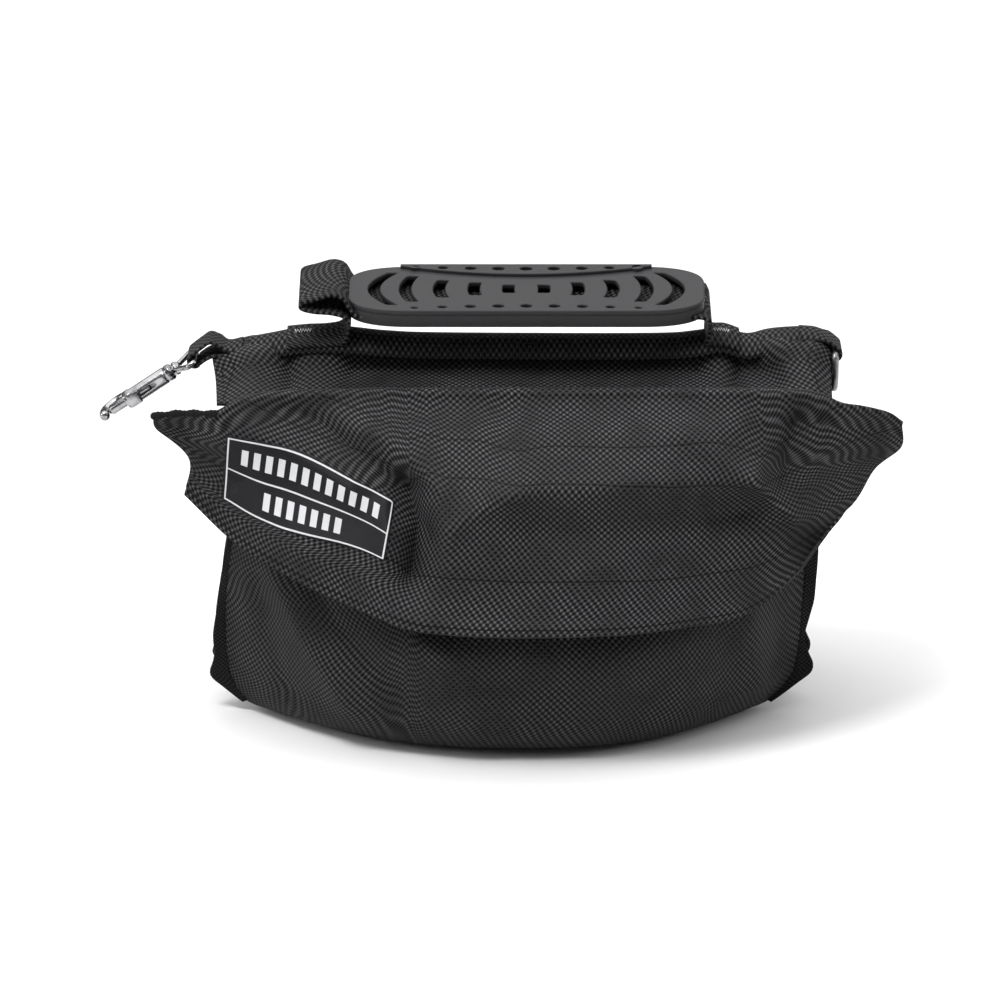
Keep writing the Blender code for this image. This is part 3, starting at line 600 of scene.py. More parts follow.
def inner_depth(at, share, inset=0.0):
    """Depth of the pouch's face towards the other pouch, or of what lies that far inside it."""
    return at.seam + (at.back + inset - at.seam) * (1 - np.abs(share) ** 6)


def freedom(z, share):
    """0 at the pouch's foot, mouth and side seams, and 1 where its cloth is free to fold."""
    return np.clip(z / 0.02, 0, 1) * np.clip((MOUTH_Z - z) / 0.02, 0, 1) * (1 - np.abs(share) ** 8)


def folds(x, z, creases):
    """How far the creases move the cloth out at each point of its face."""
    total = np.zeros_like(x)
    for path, width, height in creases:
        nearest = np.full_like(x, np.inf)
        for start, end in zip(path, path[1:]):
            along = end - start
            t = ((x - start[0]) * along[0] + (z - start[1]) * along[1]) / (along @ along)
            t = np.clip(t, 0, 1)
            away = np.hypot(x - start[0] - t * along[0], z - start[1] - t * along[1])
            nearest = np.minimum(nearest, away)
        total += height * np.exp(-(((nearest / width) ** 2 + 0.02) ** 0.68))
    return total


def rumple(x, z, seed, size):
    """Soft unevenness that loose cloth has everywhere."""
    rng = np.random.default_rng(seed)
    total = np.zeros_like(x)
    for _ in range(14):
        angle = rng.uniform(0, math.pi)
        wave = 2 * math.pi / rng.uniform(0.018, 0.075)
        phase = rng.uniform(0, 2 * math.pi)
        total += np.sin((x * math.cos(angle) + z * math.sin(angle)) * wave + phase) / wave
    return total * size


def flap_face(x, z):
    """Depth that the flap lies at: on the pouch in the middle, and out to the ears at its ends."""
    at = pouch_at(z)
    face = outer_depth(at, x / at.half_width)
    spread = outer_depth(at, x / FLAP_SPREAD, np.minimum(FLAP_STAND_OFF, (at.front - at.seam) / 2))
    return (face + spread + np.hypot(face - spread, FLAP_ROUNDING)) / 2


def place(x, depth, z, side):
    """World points from bag coordinates."""
    return np.stack([x + BAG_CENTRE_X, side * depth, z], axis=-1)


def flat_lengths(grid):
    """(u, v) of a grid's points on the flat cloth: lengths from its middle column and its last row."""
    across = np.linalg.norm(np.diff(grid, axis=1), axis=2)
    along = np.linalg.norm(np.diff(grid, axis=0), axis=2)
    u = np.concatenate([np.zeros((len(grid), 1)), np.cumsum(across, axis=1)], axis=1)
    u -= u[:, grid.shape[1] // 2][:, None]
    v = np.concatenate([np.zeros((1, grid.shape[1])), np.cumsum(along, axis=0)], axis=0)
    return np.stack([u, v[-1] - v], axis=-1)


def mesh_piece(name, shape, material, uvs=None):
    """A piece from a shape's points and faces. uvs holds one (u, v) for each corner of each face."""
    points, faces = shape
    mesh = bpy.data.meshes.new(name)
    mesh.from_pydata(np.asarray(points).tolist(), [], [list(face) for face in faces])
    if uvs is not None:
        layer = mesh.uv_layers.new(name="UVMap")
        layer.data.foreach_set("uv", np.asarray(uvs, np.float32).ravel())
    mesh.materials.append(material)
    mesh.shade_smooth()
    piece = bpy.data.objects.new(name, mesh)
    bpy.context.scene.collection.objects.link(piece)
    return piece


def grid_piece(name, grid, material, wrap=False, uv=None):
    """A piece from rows of points. With wrap, the last column meets the first."""
    closed = np.concatenate([grid, grid[:, :1]], axis=1) if wrap else grid
    uv = flat_lengths(closed) if uv is None else uv
    rows, columns = closed.shape[:2]
    corner = np.arange(rows * columns).reshape(rows, columns)
    quads = np.stack([corner[:-1, :-1], corner[:-1, 1:], corner[1:, 1:], corner[1:, :-1]], axis=-1)
    quads = quads.reshape(-1, 4)
    uvs = uv.reshape(-1, 2)[quads]
    point = np.arange(grid.shape[0] * grid.shape[1]).reshape(grid.shape[:2])
    if wrap:
        point = np.concatenate([point, point[:, :1]], axis=1)
    return mesh_piece(name, (grid.reshape(-1, 3), point.reshape(-1)[quads]), material, uvs)


def weld(piece):
    """Join points that lie in one place. Each face keeps its own (u, v) there."""
    shape = bmesh.new()
    shape.from_mesh(piece.data)
    bmesh.ops.remove_doubles(shape, verts=shape.verts, dist=1e-6)
    shape.to_mesh(piece.data)
    shape.free()
    return piece


def thicken(piece, thickness):
    """Cloth of this thickness, half to each side of the piece's surface."""
    solid = piece.modifiers.new("thickness", "SOLIDIFY")
    solid.thickness = thickness
    solid.offset = 0.0
    solid.use_even_offset = False
    return piece


def settle(piece, body, slot, *nodes):
    """The piece rides on a body and stands for the CAD nodes. slot is not used."""
    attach(piece, body)
    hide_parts(*nodes)
    return piece


# Pouches


class Side:
    """The cloth of one side: its creases, the seed of its unevenness and its flap's outline."""

    def __init__(self, word, sign, pouch_folds, flap_folds, seed, outline):
        self.word = word
        self.pouch = word + "_pouch"
        self.flap = word + "_flap"
        self.sign = sign
        self.pouch_folds = pouch_folds
        self.flap_folds = flap_folds
        self.seed = seed
        self.top, self.hem, self.left, self.right = outline
        self.hem_line = curve_through(self.hem, 200)

    def hem_at(self, x):
        return np.interp(x, self.hem_line[:, 0], self.hem_line[:, 1])

    def flap_depth(self, x, z):
        """Depth of the middle of the flap's cloth."""
        loose = folds(x, z, self.flap_folds) + rumple(x, z, self.seed, 0.028)
        return flap_face(x, z) + FLAP_MIDDLE + loose

    def pouch_depth(self, x, z, share):
        """Depth of the pouch's outer cloth. share is how far across the pouch it is, from -1 to 1."""
        loose = folds(x, z, self.pouch_folds) + rumple(x, z, self.seed + 40, 0.032)
        near_seam = np.exp(-(1 - np.abs(share)) / 0.045) * (1 - np.abs(share) ** 20)
        pucker = 0.0010 * near_seam * np.sin(z * 480 + 2 * np.sin(z * 90))
        hem = self.hem_at(x)
        hollow = HOLLOW_DEPTH * np.exp(-(((z - hem + HOLLOW_DROP) / HOLLOW_HEIGHT) ** 2)) * bulge(share)
        depth = outer_depth(pouch_at(z), share) + (loose + pucker) * freedom(z, share) - hollow
        covered = np.minimum(depth, self.flap_depth(x, z) - POUCH_UNDER_FLAP)
        return np.where(z > hem - HOLLOW_DROP, covered, depth)


def pouch_x(share, z):
    """x of the point that far across the pouch, whose two ends aren't alike."""
    trim_left = np.interp(z, POUCH_TRIM_Z, POUCH_TRIM_LEFT)
    trim_right = np.interp(z, POUCH_TRIM_Z, POUCH_TRIM_RIGHT)
    return share * pouch_at(z).half_width * np.where(share < 0, trim_left, trim_right)


def pouch_cloth(side):
    """A filled pouch, from the middle of its base up to its mouth and over the mouth's hem."""
    outer_columns = 130
    inner_columns = 60
    out = -np.cos(math.pi * np.linspace(0, 1, outer_columns, endpoint=False))
    home = np.cos(math.pi * np.linspace(0, 1, inner_columns, endpoint=False))
    levels = np.concatenate([np.linspace(0, 0.02, 12, endpoint=False), np.linspace(0.02, MOUTH_Z, 96)])
    share, z = np.meshgrid(np.concatenate([out, home]), levels)
    is_outer = np.arange(outer_columns + inner_columns) < outer_columns
    x = pouch_x(share, z)
    outward = side.pouch_depth(x, z, share)
    loose = rumple(x, z, side.seed + 80, 0.018) * freedom(z, share)
    inward = np.maximum(inner_depth(pouch_at(z), share) + loose, HALF_GAP)
    rows = place(x, np.where(is_outer, outward, inward), z, side.sign)
    centre = rows[0].mean(axis=0)
    base = [centre + (rows[0] - centre) * k for k in np.linspace(0, 1, BASE_RINGS)]
    middle = rows[-1].mean(axis=0)
    away = rows[-1] - middle
    away /= np.linalg.norm(away, axis=1)[:, None]
    hem = []
    for inset, drop in MOUTH_HEM:
        hem.append(rows[-1] - away * inset - (0, 0, drop))
    grid = np.concatenate([np.array(base), rows, np.array(hem)])
    closed = np.concatenate([grid, grid[:, :1]], axis=1)
    uv = flat_lengths(closed)
    uv[:BASE_RINGS] = closed[:BASE_RINGS, :, :2]
    piece = weld(grid_piece(side.pouch + "_cloth", grid, WOVEN, wrap=True, uv=uv))
    settle(piece, side.pouch, "woven_fabric", side.pouch + "_shell")


def seam_flange(side, hand_word, hand, widths):
    """The seam allowance that stands out along one end of a pouch, with a corner at its foot."""
    levels = np.linspace(FLANGE_Z[0], FLANGE_Z[-1], 110)
    width = np.interp(levels, FLANGE_Z, widths)
    width = np.convolve(np.pad(width, 2, mode="edge"), np.full(5, 0.2), mode="valid")
    out, z = np.meshgrid(np.linspace(-0.0022, 1, 8), levels)
    out = np.clip(out, 0, 1)
    edge = pouch_x(np.full_like(z, hand), z)
    sway = 0.001 * out * np.sin(z * 95 + hand + side.sign)
    x = edge + hand * (out * width[:, None] - 0.0012)
    grid = place(x, pouch_at(z).seam + sway, z - 0.0012 * out, side.sign)
    piece = thicken(grid_piece(f"{side.word}_{hand_word}_seam", grid, BINDING), SEAM_CLOTH)
    settle(piece, side.pouch, "webbing", f"{side.word}_{hand_word}_binding")


def tape(name, side, span, depth_at, body, node):
    low, high = span
    x, z = np.meshgrid(np.linspace(-TAPE_HALF_LENGTH, TAPE_HALF_LENGTH, 90), np.linspace(high, low, 12))
    piece = thicken(grid_piece(name, place(x, depth_at(x, z), z, side.sign), TAPE), TAPE_CLOTH)
    settle(piece, body, "hook_and_loop", node)


def tapes(side):
    """Loop tapes on the pouch, and hook tapes behind the flap."""

    def on_pouch(x, z):
        return side.pouch_depth(x, z, x / pouch_x(np.sign(x), z) * np.sign(x)) + LOOP_TAPE_LIFT

    def on_flap(x, z):
        return side.flap_depth(x, z) - HOOK_TAPE_DROP

    for level, span in TAPES.items():
        loop = f"{side.pouch}_{level}_loop"
        hook = f"{side.flap}_{level}_hook"
        tape(loop + "_tape", side, span, on_pouch, side.pouch, loop)
        tape(hook + "_tape", side, span, on_flap, side.flap, hook)


def liner_film(side):
    """The inner bag's creased film, open at its neck."""
    rng = np.random.default_rng(side.seed)
    angle, z = np.meshgrid(np.linspace(0, 2 * math.pi, 140, endpoint=False), np.linspace(0.1, 0.163, 28))
    share = np.cos(angle)
    at = pouch_at(z)
    x = pouch_x(share, z) * 0.93
    outward = np.minimum(outer_depth(at, share, LINER_INSET), side.pouch_depth(x, z, share) - 0.003)
    depth = np.where(np.sin(angle) >= 0, outward, inner_depth(at, share, LINER_INSET))
    crumple = np.zeros_like(z)
    for k in (5, 9, 14, 21, 33, 47):
        crumple += np.sin(angle * k + z * rng.uniform(60, 300) + rng.uniform(0, 6)) / math.sqrt(k)
    top = np.clip((z - 0.120) / 0.04, 0, 1)
    middle = at.seam + (at.front + at.back - 2 * at.seam) / 3
    depth = depth + (middle - depth) * (0.10 + 0.08 * top) + 0.0005 * crumple * top
    grid = place(x, depth, z + 0.0018 * crumple * top**2 - 0.003 * top**2, side.sign)
    film = thicken(grid_piece(side.word + "_liner_film", grid, LINER, wrap=True), FILM)
    settle(film, side.pouch, "liner_film", side.word + "_liner_bag")


def sand_heap(side):
    """The sand that shows inside the open liner."""
    angle = np.linspace(0, 2 * math.pi, 120, endpoint=False)
    share = np.cos(angle)
    at = pouch_at(np.full_like(angle, SAND_LEVEL))
    edge_x = share * (at.half_width - 0.016)
    outward = outer_depth(at, share, SAND_INSET)
    inward = inner_depth(at, share, SAND_INSET)
    middle = (at.front + at.back) / 2
    edge_depth = middle + (np.where(np.sin(angle) >= 0, outward, inward) - middle) * 0.84
    rings = np.linspace(0.01, 1, 30)[:, None]
    x = rings * edge_x
    depth = middle + rings * (edge_depth - middle)
    mound = 0.003 * (1 - rings**2) + rumple(x, depth, side.seed, 0.05)
    heap = place(x, depth, SAND_LEVEL + mound, side.sign)
    skirt = [heap[-1] - (0, 0, drop) for drop in (0.004, 0.020)]
    grid = np.concatenate([heap, np.array(skirt)])
    piece = grid_piece(side.word + "_sand_heap", grid, SAND, wrap=True)
    settle(piece, side.pouch, "sand", side.word + "_sand_fill")


# Flaps


def flap_grid(side):
    """Rows of points from the part that is tucked in behind the fold line, down to the hem."""
    rows, columns = 130, 340
    top = curve_through(side.top, columns)
    hem = curve_through(side.hem, columns)
    left = curve_through(side.left, rows)
    right = curve_through(side.right, rows)
    s = np.linspace(0, 1, columns)[None, :, None]
    t = np.linspace(0, 1, rows)[:, None, None]
    sheet = top[None] * (1 - t) + hem[None] * t + left[:, None] * (1 - s) + right[:, None] * s
    sheet -= top[0] * (1 - s) * (1 - t) + top[-1] * s * (1 - t) + hem[0] * (1 - s) * t + hem[-1] * s * t
    x, z = sheet[..., 0], sheet[..., 1]
    depth = side.flap_depth(x, np.minimum(z, MOUTH_Z))
    crown = np.clip((z - 0.160) / 0.016, 0, 1)
    crown = crown * crown * (3 - 2 * crown) * np.clip((FOLD_REACH - np.abs(x)) / 0.02, 0, 1)
    depth = depth + (FOLD_DEPTH - depth) * crown
    down = np.linspace(0, 1, rows)[:, None]
    roll = np.clip((down - 0.93) / 0.02, 0, 1)
    flare = np.clip((down - 0.72) / 0.28, 0, 1) ** 1.6
    body = place(x, depth + HEM_ROLL * roll + HEM_FLARE * flare, z, side.sign)
    tucked = []
    reach = np.clip((FOLD_REACH - np.abs(x[0])) / 0.02, 0.12, 1)
    for back, rise in FLAP_TUCK:
        tucked.append(place(x[0], depth[0] - back * reach, z[0] + rise * reach, side.sign))
    return np.concatenate([np.array(tucked), body])


def flap(side):
    piece = thicken(grid_piece(side.flap + "_cloth", flap_grid(side), FLAP_CLOTH), WOVEN_CLOTH)
    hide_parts(side.flap)
    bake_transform(piece)


def ear_roll(side):
    """The frayed edge that is rolled over along the top of the flap's left ear."""
    count = 70
    path = curve_through(side.top[:3], count)
    x, z = path.T
    depth = side.flap_depth(x, z)
    step = np.arange(count)
    radius = 0.0017 + 0.0003 * np.sin(step * 0.31) + 0.00012 * np.sin(step * 1.3)
    roll = tube(place(x, depth - 0.0006, z, side.sign), radius, 18)
    settle(mesh_piece(side.word + "_ear_roll", roll, TAPE), side.flap, "woven_fabric")


def label(side):
    """The patch sewn on the flap. Its (u, v) are measured from its middle."""
    columns, rows = 80, 36
    top = curve_through(LABEL_TOP, columns)
    bottom = curve_through(LABEL_BOTTOM, columns)
    t = np.linspace(0, 1, rows)[:, None]
    x = top[:, 0] * (1 - t) + bottom[:, 0] * t
    z = top[:, 1] * (1 - t) + bottom[:, 1] * t
    depth = side.flap_depth(x, z) + LABEL_LIFT
    width, height = LABEL_SIZE
    u, v = np.meshgrid(np.linspace(-width / 2, width / 2, columns), height / 2 - height * t)
    grid = place(x, depth, z, side.sign)
    patch = thicken(grid_piece("label_satin_patch", grid, LABEL, uv=np.stack([u, v], axis=-1)), SATIN)
    settle(patch, side.flap, "label_satin", "label_patch")


# Yoke and webbing


def ridge_at(x):
    """Height of the yoke's ridge."""
    line = curve_through(YOKE_RIDGE, 240)
    return np.interp(x, line[:, 0], line[:, 1])


def crown_drop(y):
    """How far the yoke's top has fallen at a distance y to the front or rear of its ridge."""
    depth, share = np.array(YOKE_SECTION).T
    return np.interp(np.abs(y), depth, share) * (YOKE_CROWN_Z - YOKE_CREASE_Z)


def yoke_half(side):
    """Half of the panel over the top, from its ridge down into the pouch's mouth."""
    rows = 60
    section = curve_through(YOKE_SECTION, rows)
    x, depth = np.meshgrid(np.linspace(YOKE_LEFT, YOKE_RIGHT, 280), section[:, 0])
    ridge = ridge_at(x)
    share = section[:, 1][:, None]
    x = x + 0.003 * share * (x < -0.15)
    z = ridge + (YOKE_CREASE_Z - ridge) * share
    loose = np.sin(math.pi * np.linspace(0, 1, rows))[:, None] ** 0.6
    push = (folds(x, z, YOKE_FOLDS) + rumple(x, z, side.seed + 60, 0.022)) * loose
    grid = place(x, depth + push * 0.75, z + push * 0.65, side.sign)
    piece = thicken(grid_piece(side.word + "_yoke_cloth", grid, YOKE_CLOTH), WOVEN_CLOTH)
    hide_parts("yoke_panel")
    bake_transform(piece)


def webbing(name, path, width, thickness, crowned, lean=0.0):
    """A strap along a path of (x, z). crowned is how closely each row follows the yoke's round top.

    width and lean may differ along it. lean is the slope of a row, with its rear edge up.
    """
    columns = 21
    rows = len(path)
    across = np.linspace(-0.5, 0.5, columns)[None, :] * np.broadcast_to(width, rows)[:, None]
    x = path[:, 0][:, None].repeat(columns, axis=1)
    z = path[:, 1][:, None] - crown_drop(across) * crowned[:, None]
    z = z + across * np.broadcast_to(lean, rows)[:, None]
    return thicken(grid_piece(name, place(x, across, z, 1), WEBBED), thickness)


def spine():
    x = np.linspace(-0.137, 0.137, 220)
    path = np.stack([x, ridge_at(x) + 0.0018], axis=1)
    piece = webbing("spine_webbing_strap", path, SPINE_WIDTH, SPINE_WEBBING, np.ones(len(path)))
    settle(piece, "saddle", "webbing", "spine_webbing")


def end_loop(node, bar_x, bar_z, hand, lead, tail):
    """Webbing that runs off the yoke's end, round a bar and back under itself."""
    run, rise = abs(bar_x - lead[-1][0]), lead[-1][1] - bar_z
    touch = math.pi - math.atan2(rise, run) - math.acos(LOOP_RADIUS / math.hypot(run, rise))
    angle = touch - math.pi * np.linspace(0, 1.15, 11)
    turn = np.stack([hand * np.cos(angle), np.sin(angle)], axis=1) * LOOP_RADIUS + (bar_x, bar_z)
    path = curve_through([*lead, *turn, *tail], 120)
    crowned = np.clip(1 - (hand * path[:, 0] - 0.141) / 0.010, 0, 1)
    piece = webbing(node + "_webbing", path, LOOP_WIDTH, LOOP_WEBBING, crowned)
    settle(piece, "saddle", "webbing", node)


def handle_strap():
    path = curve_through(STRAP_PATH, 460)
    raised = np.clip((path[:, 1] - 0.1965) / 0.008, 0, 1)
    width = STRAP_END_WIDTH + (STRAP_WIDTH - STRAP_END_WIDTH) * raised
    lean = math.tan(GRIP_TILT) * np.clip((path[:, 1] - 0.2030) / 0.005, 0, 1)
    piece = webbing("handle_strap_webbing", path, width, STRAP_WEBBING, 1 - raised, lean)
    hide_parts("handle_strap_left_end", "handle_strap_middle", "handle_strap_right_end")
    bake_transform(piece)


def bar_tack(name, x_from, x_to):
    """A zigzag of pale thread that fastens the strap's end down."""
    count = 13
    x = np.linspace(x_from, x_to, count)
    y = -0.0062 + 0.0009 * (-1.0) ** np.arange(count)
    z = ridge_at(x) + 0.0048 - crown_drop(y)
    settle(mesh_piece(name, tube(place(x, y, z, 1), 0.0003, 8), THREAD), "saddle", "webbing")


# Grip


def cut_sheet(name, loops, thickness, round_edge, z):
    """A flat plate with rounded edges: the first loop is its outline and the others are holes."""
    curve = bpy.data.curves.new(name, "CURVE")
    curve.dimensions = "2D"
    curve.fill_mode = "BOTH"
    curve.extrude = thickness / 2 - round_edge
    curve.bevel_depth = round_edge
    curve.bevel_resolution = 3
    for loop in loops:
        spline = curve.splines.new("POLY")
        spline.points.add(len(loop) - 1)
        for slot, (x, y) in zip(spline.points, loop):
            slot.co = (x, y, 0.0, 1.0)
        spline.use_cyclic_u = True
    shape = bpy.data.objects.new(name, curve)
    bpy.context.scene.collection.objects.link(shape)
    graph = bpy.context.evaluated_depsgraph_get()
    mesh = bpy.data.meshes.new_from_object(shape.evaluated_get(graph))
    bpy.data.objects.remove(shape)
    points = np.array([vertex.co for vertex in mesh.vertices])
    points[:, 2] += z
    faces = [tuple(face.vertices) for face in mesh.polygons]
    return points, faces


def joined(parts):
    """Points and faces of several meshes as one."""
    points, faces, start = [], [], 0
    for part_points, part_faces in parts:
        points.append(part_points)
        faces.extend(tuple(start + corner for corner in face) for face in part_faces)
        start += len(part_points)
    return np.concatenate(points), faces


def oval(x, y, across, along, count=20):
    angles = np.linspace(0, 2 * math.pi, count, endpoint=False)
    return [(x + across * math.cos(a), y + along * math.sin(a)) for a in angles]


def grip_outline(inset, count=26):
    """Straight sides, and ends that curve in to short flats."""
    turns = np.linspace(0, math.pi / 2, count)
    x = 0.0560 + (0.0315 - inset) * np.cos(turns) ** 0.85
    y = 0.0070 + (0.0165 - inset) * np.sin(turns) ** 0.85
    corner = np.stack([x, y], axis=1)
    far = np.concatenate([corner, (corner * (-1, 1))[::-1]])
    return np.concatenate([far, (far * (1, -1))[::-1]])


def slot_loop(x, length, bow, hand):
    """A slot across the grip that bows away from its middle, with rounded corners."""
    half = 0.0037
    share = np.linspace(-1, 1, 13)
    middle = x + bow * (1 - share**2)
    y = share * length / 2
    left = list(zip(middle - half, y))
    right = list(zip(middle + half, y))[::-1]
    cap = [(middle[-1] - half * 0.6, y[-1] + 0.0006), (middle[-1] + half * 0.6, y[-1] + 0.0006)]
    foot = [(middle[0] + half * 0.6, y[0] - 0.0006), (middle[0] - half * 0.6, y[0] - 0.0006)]
    return [(hand * px, py) for px, py in left + cap + right + foot]


def grip_holes(side):
    """The row of oval holes along the grip's front or rear edge."""
    holes = []
    for share in np.linspace(-1, 1, 9):
        scale = 1 - 0.3 * share**2
        y = side * (0.0185 + 0.002 * share**2)
        holes.append(oval(0.0552 * share, y, 0.0037 * scale, 0.0025 * scale))
    return holes


def grip_lip():
    """Outline of the raised lip along the grip's rear edge, which is deepest in its middle."""
    share = np.linspace(-1, 1, 61)
    outer = [(LIP_HALF_LENGTH * k, 0.0230) for k in share]
    inner = [(LIP_HALF_LENGTH * k, 0.0222 - 0.0090 * (1 - k**2)) for k in share[::-1]]
    return outer + inner


def grip():
    slots = [slot_loop(*slot, hand) for slot in GRIP_SLOTS for hand in (-1, 1)]
    openings = slots + grip_holes(FRONT) + grip_holes(REAR)
    plate_z = GRIP_HEIGHT - GRIP_PLATE / 2
    plate = cut_sheet("plate", [grip_outline(0.0)] + openings, GRIP_PLATE, 0.0008, plate_z)
    wall_height = GRIP_HEIGHT - 0.0012
    wall_loops = [grip_outline(0.0002), grip_outline(0.0034)]
    wall = cut_sheet("wall", wall_loops, wall_height, 0.0007, wall_height / 2)
    lip = cut_sheet("lip", [grip_lip()] + grip_holes(REAR), 0.0022, 0.0006, GRIP_HEIGHT + 0.0006)
    points, faces = joined([plate, wall, lip])
    own_y = (0, math.cos(GRIP_TILT), math.sin(GRIP_TILT))
    own_z = (0, -math.sin(GRIP_TILT), math.cos(GRIP_TILT))
    points = points @ np.array(((1, 0, 0), own_y, own_z))
    points += (BAG_CENTRE_X + GRIP_CENTRE_X, 0, GRIP_BOTTOM)
    piece = mesh_piece("grip_moulding", (points, faces), RUBBER)
    piece.data.set_sharp_from_angle(angle=math.radians(35))
    settle(piece, "handle", "grip_rubber", "handle_grip")


# Metal


def tube(points, radius, sides=20, closed=False):
    """Points and faces of a round rod along a path, with domed ends unless it is closed."""
    points = np.asarray(points, float)
    count = len(points)
    radius = np.broadcast_to(radius, count)
    ahead = np.roll(points, -1, axis=0) - np.roll(points, 1, axis=0)
    if not closed:
        ahead[0] = points[1] - points[0]
        ahead[-1] = points[-1] - points[-2]
    ahead /= np.linalg.norm(ahead, axis=1)[:, None]
    normal = np.cross(ahead[0], (0.3, 0.2, 0.9))
    rings = []
    angles = np.linspace(0, 2 * math.pi, sides, endpoint=False)
    for i in range(count):
        normal = normal - (normal @ ahead[i]) * ahead[i]
        normal /= np.linalg.norm(normal)
        other = np.cross(ahead[i], normal)
        ring = np.outer(np.cos(angles), normal) + np.outer(np.sin(angles), other)
        rings.append(points[i] + ring * radius[i])
    if not closed:
        for end, step in ((0, -1), (-1, 1)):
            base = points[end]
            shell = rings[end]
            for share in (0.35, 0.7, 0.95):
                shrink = math.sqrt(1 - share**2)
                cap = base + (shell - base) * shrink + ahead[end] * step * radius[end] * share * 0.7
                rings.insert(0, cap) if end == 0 else rings.append(cap)
    return ring_faces(rings, closed)


def ring_faces(rings, closed=False):
    """Points and faces of a skin over the rings, with its ends filled unless it is closed."""
    sides = len(rings[0])
    total = len(rings)
    faces = []
    for i in range(total if closed else total - 1):
        low, high = i * sides, (i + 1) % total * sides
        for k in range(sides):
            faces.append((low + k, low + (k + 1) % sides, high + (k + 1) % sides, high + k))
    if not closed:
        faces.append(tuple(range(sides))[::-1])
        faces.append(tuple((total - 1) * sides + k for k in range(sides)))
    return np.concatenate(rings), faces


def turned(profile, sides=40):
    """A profile of (radius, z) turned about Z, with the ends closed."""
    angles = np.linspace(0, 2 * math.pi, sides, endpoint=False)
    circle = np.stack([np.cos(angles), np.sin(angles), np.zeros(sides)], axis=1)
    return ring_faces([radius * circle + (0, 0, z) for radius, z in profile])


def softened(profile, edge=0.0003):
    """The profile with each corner cut by a small rounded edge."""
    profile = np.array(profile)
    soft = [profile[0]]
    for before, corner, after in zip(profile, profile[1:], profile[2:]):
        back = before - corner
        on = after - corner
        cut_back = min(edge, np.linalg.norm(back) / 2.2)
        cut_on = min(edge, np.linalg.norm(on) / 2.2)
        start = corner + back / np.linalg.norm(back) * cut_back
        end = corner + on / np.linalg.norm(on) * cut_on
        soft += [start, (start + 2 * corner + end) / 4, end]
    return [*soft, profile[-1]]


def block(low, high, round_edge):
    """A box with rounded edges."""
    near, far = np.array(low) + round_edge, np.array(high) - round_edge
    corners = ((far[0], far[1]), (near[0], far[1]), (near[0], near[1]), (far[0], near[1]))
    steps = ((0.0, 1.0), (0.3, 0.3), (1.0, 0.0))
    levels = [(low[2] + up * round_edge, shrink) for up, shrink in steps]
    levels += [(high[2] - down * round_edge, shrink) for down, shrink in steps[::-1]]
    rings = []
    for z, shrink in levels:
        radius = max(round_edge * (1 - shrink), 0.00002)
        ring = []
        for quarter, (x, y) in enumerate(corners):
            for angle in np.linspace(quarter, quarter + 1, 5) * math.pi / 2:
                ring.append((x + radius * math.cos(angle), y + radius * math.sin(angle), z))
        rings.append(np.array(ring))
    return ring_faces(rings)


def snap_place(part):
    """A part in the snap's own coordinates, whose Z runs from its nose to its eye, put in place."""
    points, faces = part
    own_x = (math.sin(SNAP_SLOPE), 0, -math.cos(SNAP_SLOPE))
    own_z = (math.cos(SNAP_SLOPE), 0, math.sin(SNAP_SLOPE))
    return points @ np.array((own_x, (0, 1, 0), own_z)) + (BAG_CENTRE_X + EYE_X, 0, EYE_Z), faces


def snap_piece(name, parts, body, *nodes):
    piece = mesh_piece(name, joined([snap_place(part) for part in parts]), CHROME)
    piece.data.set_sharp_from_angle(angle=math.radians(40))
    return settle(piece, body, "snap_chrome", *nodes)


def snap_eye():
    """The wire eye, and the stud that the snap's body turns on."""
    wire = curve_through([*EYE_WIRE, *((x, -y, z) for x, y, z in reversed(EYE_WIRE))], 120)
    snap_piece("snap_eye_wire", [tube(wire, 0.0015), turned(softened(EYE_STUD))], "snap_eye", "snap_eye")


def snap_body():
    """The barrel and the hook, with a slot cut through the barrel's wall for the knob."""
    arm = curve_through([(0, y, z) for y, z in HOOK_ARM], 70)
    along, radii = np.array(HOOK_RADII).T
    radius = np.interp(np.linspace(0, 1, 70), along, radii)
    parts = [turned(softened(BARREL, 0.0002)), tube(arm, radius)]
    body = snap_piece("snap_body_casting", parts, "snap_body", "snap_body")
    slot = snap_place(block((-0.0015, -0.0080, -0.0386), (0.0015, -0.0010, -0.0262), 0.0013))
    cutter = mesh_piece("slot_cutter", slot, CHROME)
    cut = body.modifiers.new("slot", "BOOLEAN")
    cut.object = cutter
    cut.solver = "EXACT"
    graph = bpy.context.evaluated_depsgraph_get()
    body.data = bpy.data.meshes.new_from_object(body.evaluated_get(graph))
    body.modifiers.clear()
    bpy.data.objects.remove(cutter)


def snap_bolt():
    """The sliding rod, with the knob on its stem."""
    stem = turned(softened(KNOB_STEM, 0.0001), 24)
    knob = block((-0.0034, -0.0032, 0.0055), (0.0034, 0.0032, 0.0080), 0.0006)
    points, faces = joined([stem, knob])
    points = np.stack([points[:, 0], -points[:, 2], points[:, 1] + KNOB_Z], axis=1)
    parts = [turned(softened(BOLT_ROD)), (points, faces)]
    snap_piece("snap_bolt_rod", parts, "snap_bolt", "snap_bolt", "snap_knob")


def snap_spring():
    low, high = SPRING_SPAN
    angle = 2 * math.pi * SPRING_TURNS * np.linspace(0, 1, SPRING_TURNS * 20)
    z = np.linspace(low, high, len(angle))
    coil = np.stack([SPRING_RADIUS * np.cos(angle), SPRING_RADIUS * np.sin(angle), z], axis=1)
    spring = mesh_piece("snap_spring_coil", snap_place(tube(coil, 0.0003, 8)), STEEL)
    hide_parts("snap_spring")
    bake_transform(spring)


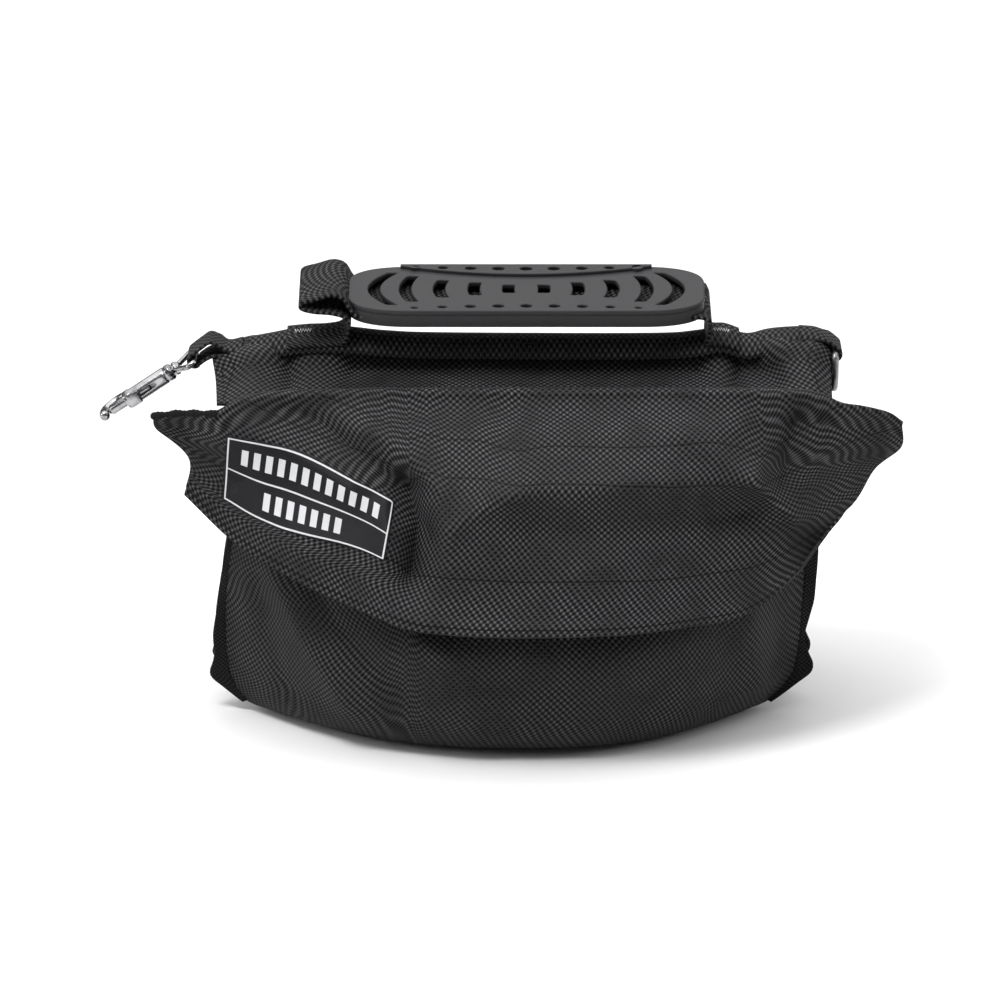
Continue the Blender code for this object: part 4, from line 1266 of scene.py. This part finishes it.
def ring():
    """A D of round wire that hangs from its straight side."""
    half = RING_HALF_WIDTH
    bar = [(-half, -0.001), (-half + 0.0015, 0.0002), (-half / 2, 0)]
    path = bar + [(-y, z) for y, z in reversed(bar)]
    path += [(half * math.cos(a), -0.008 - 0.0115 * math.sin(a)) for a in np.linspace(0, math.pi, 15)]
    path = [(0, y, z) for y, z in path]
    loop = curve_through([*path, path[0]], 160)[:-1] + (BAG_CENTRE_X + RING_X, 0, RING_Z)
    piece = mesh_piece("ring_wire", tube(loop, RING_WIRE / 2, 20, closed=True), STEEL)
    settle(piece, "d_ring", "ring_steel", "d_ring")


# Studio


def area_light(name, location, target, size, power):
    data = bpy.data.lights.new(name, "AREA")
    data.size = size
    data.energy = power
    lamp = bpy.data.objects.new(name, data)
    lamp.location = location
    lamp.rotation_euler = (Vector(target) - Vector(location)).to_track_quat("-Z", "Y").to_euler()
    bpy.context.scene.collection.objects.link(lamp)


def studio():
    corners = [(-12, -12, 0), (12, -12, 0), (12, 12, 0), (-12, 12, 0)]
    mesh_piece("floor", (corners, [(0, 1, 2, 3)]), FLOOR)
    scene = bpy.context.scene
    world = bpy.data.worlds.new("studio")
    world.use_nodes = True
    background = world.node_tree.nodes["Background"]
    background.inputs["Color"].default_value = (1.0, 1.0, 1.0, 1.0)
    background.inputs["Strength"].default_value = 0.15
    scene.world = world
    area_light("overhead", (0.0, 1.0, 3.4), (0.0, 0.6, 0.0), 7.0, 285.0)
    area_light("key", (-0.7, -0.8, 2.0), (0.0, 0.0, 0.1), 0.7, 26.0)
    area_light("left", (-1.9, -0.7, 0.9), (0.0, 0.0, 0.1), 0.7, 9.0)
    area_light("right", (2.0, -0.5, 1.0), (0.0, 0.0, 0.1), 0.7, 8.0)
    scene.view_settings.view_transform = "Standard"


def camera():
    scene = bpy.context.scene
    data = bpy.data.cameras.new("camera")
    data.lens = 230.0
    data.sensor_width = 36.0
    data.clip_end = 60.0
    viewer = bpy.data.objects.new("camera", data)
    scene.collection.objects.link(viewer)
    back = Vector((0.0, -math.cos(VIEW_ELEVATION), math.sin(VIEW_ELEVATION)))
    viewer.location = CAMERA_TARGET + back * CAMERA_DISTANCE
    viewer.rotation_euler = (-back).to_track_quat("-Z", "Y").to_euler()
    scene.camera = viewer


FRONT_OUTLINE = (FLAP_TOP_EDGE, FLAP_HEM, FLAP_LEFT_EDGE, FLAP_RIGHT_EDGE)
REAR_OUTLINE = (REAR_FLAP_TOP_EDGE, REAR_FLAP_HEM, REAR_FLAP_LEFT_EDGE, REAR_FLAP_RIGHT_EDGE)
front = Side("front", FRONT, FRONT_POUCH_FOLDS, FRONT_FLAP_FOLDS, 11, FRONT_OUTLINE)
rear = Side("rear", REAR, REAR_POUCH_FOLDS, REAR_FLAP_FOLDS, 12, REAR_OUTLINE)
for side, flat in ((front, (0.375, 0.150)), (rear, (0.307, 0.140))):
    pouch_cloth(side)
    seam_flange(side, "left", -1, FLANGE_LEFT)
    seam_flange(side, "right", 1, FLANGE_RIGHT)
    liner_film(side)
    sand_heap(side)
    flap(side)
    tapes(side)
    yoke_half(side)
ear_roll(front)
label(front)
spine()
end_loop("hook_loop", EYE_X, EYE_Z, -1, HOOK_LOOP_LEAD, HOOK_LOOP_TAIL)
end_loop("ring_loop", RING_X, RING_Z, 1, RING_LOOP_LEAD, RING_LOOP_TAIL)
handle_strap()
bar_tack("bar_tack_left", -0.1140, -0.1060)
bar_tack("bar_tack_right", 0.0935, 0.1010)
grip()
snap_eye()
snap_body()
snap_bolt()
snap_spring()
ring()
studio()
camera()
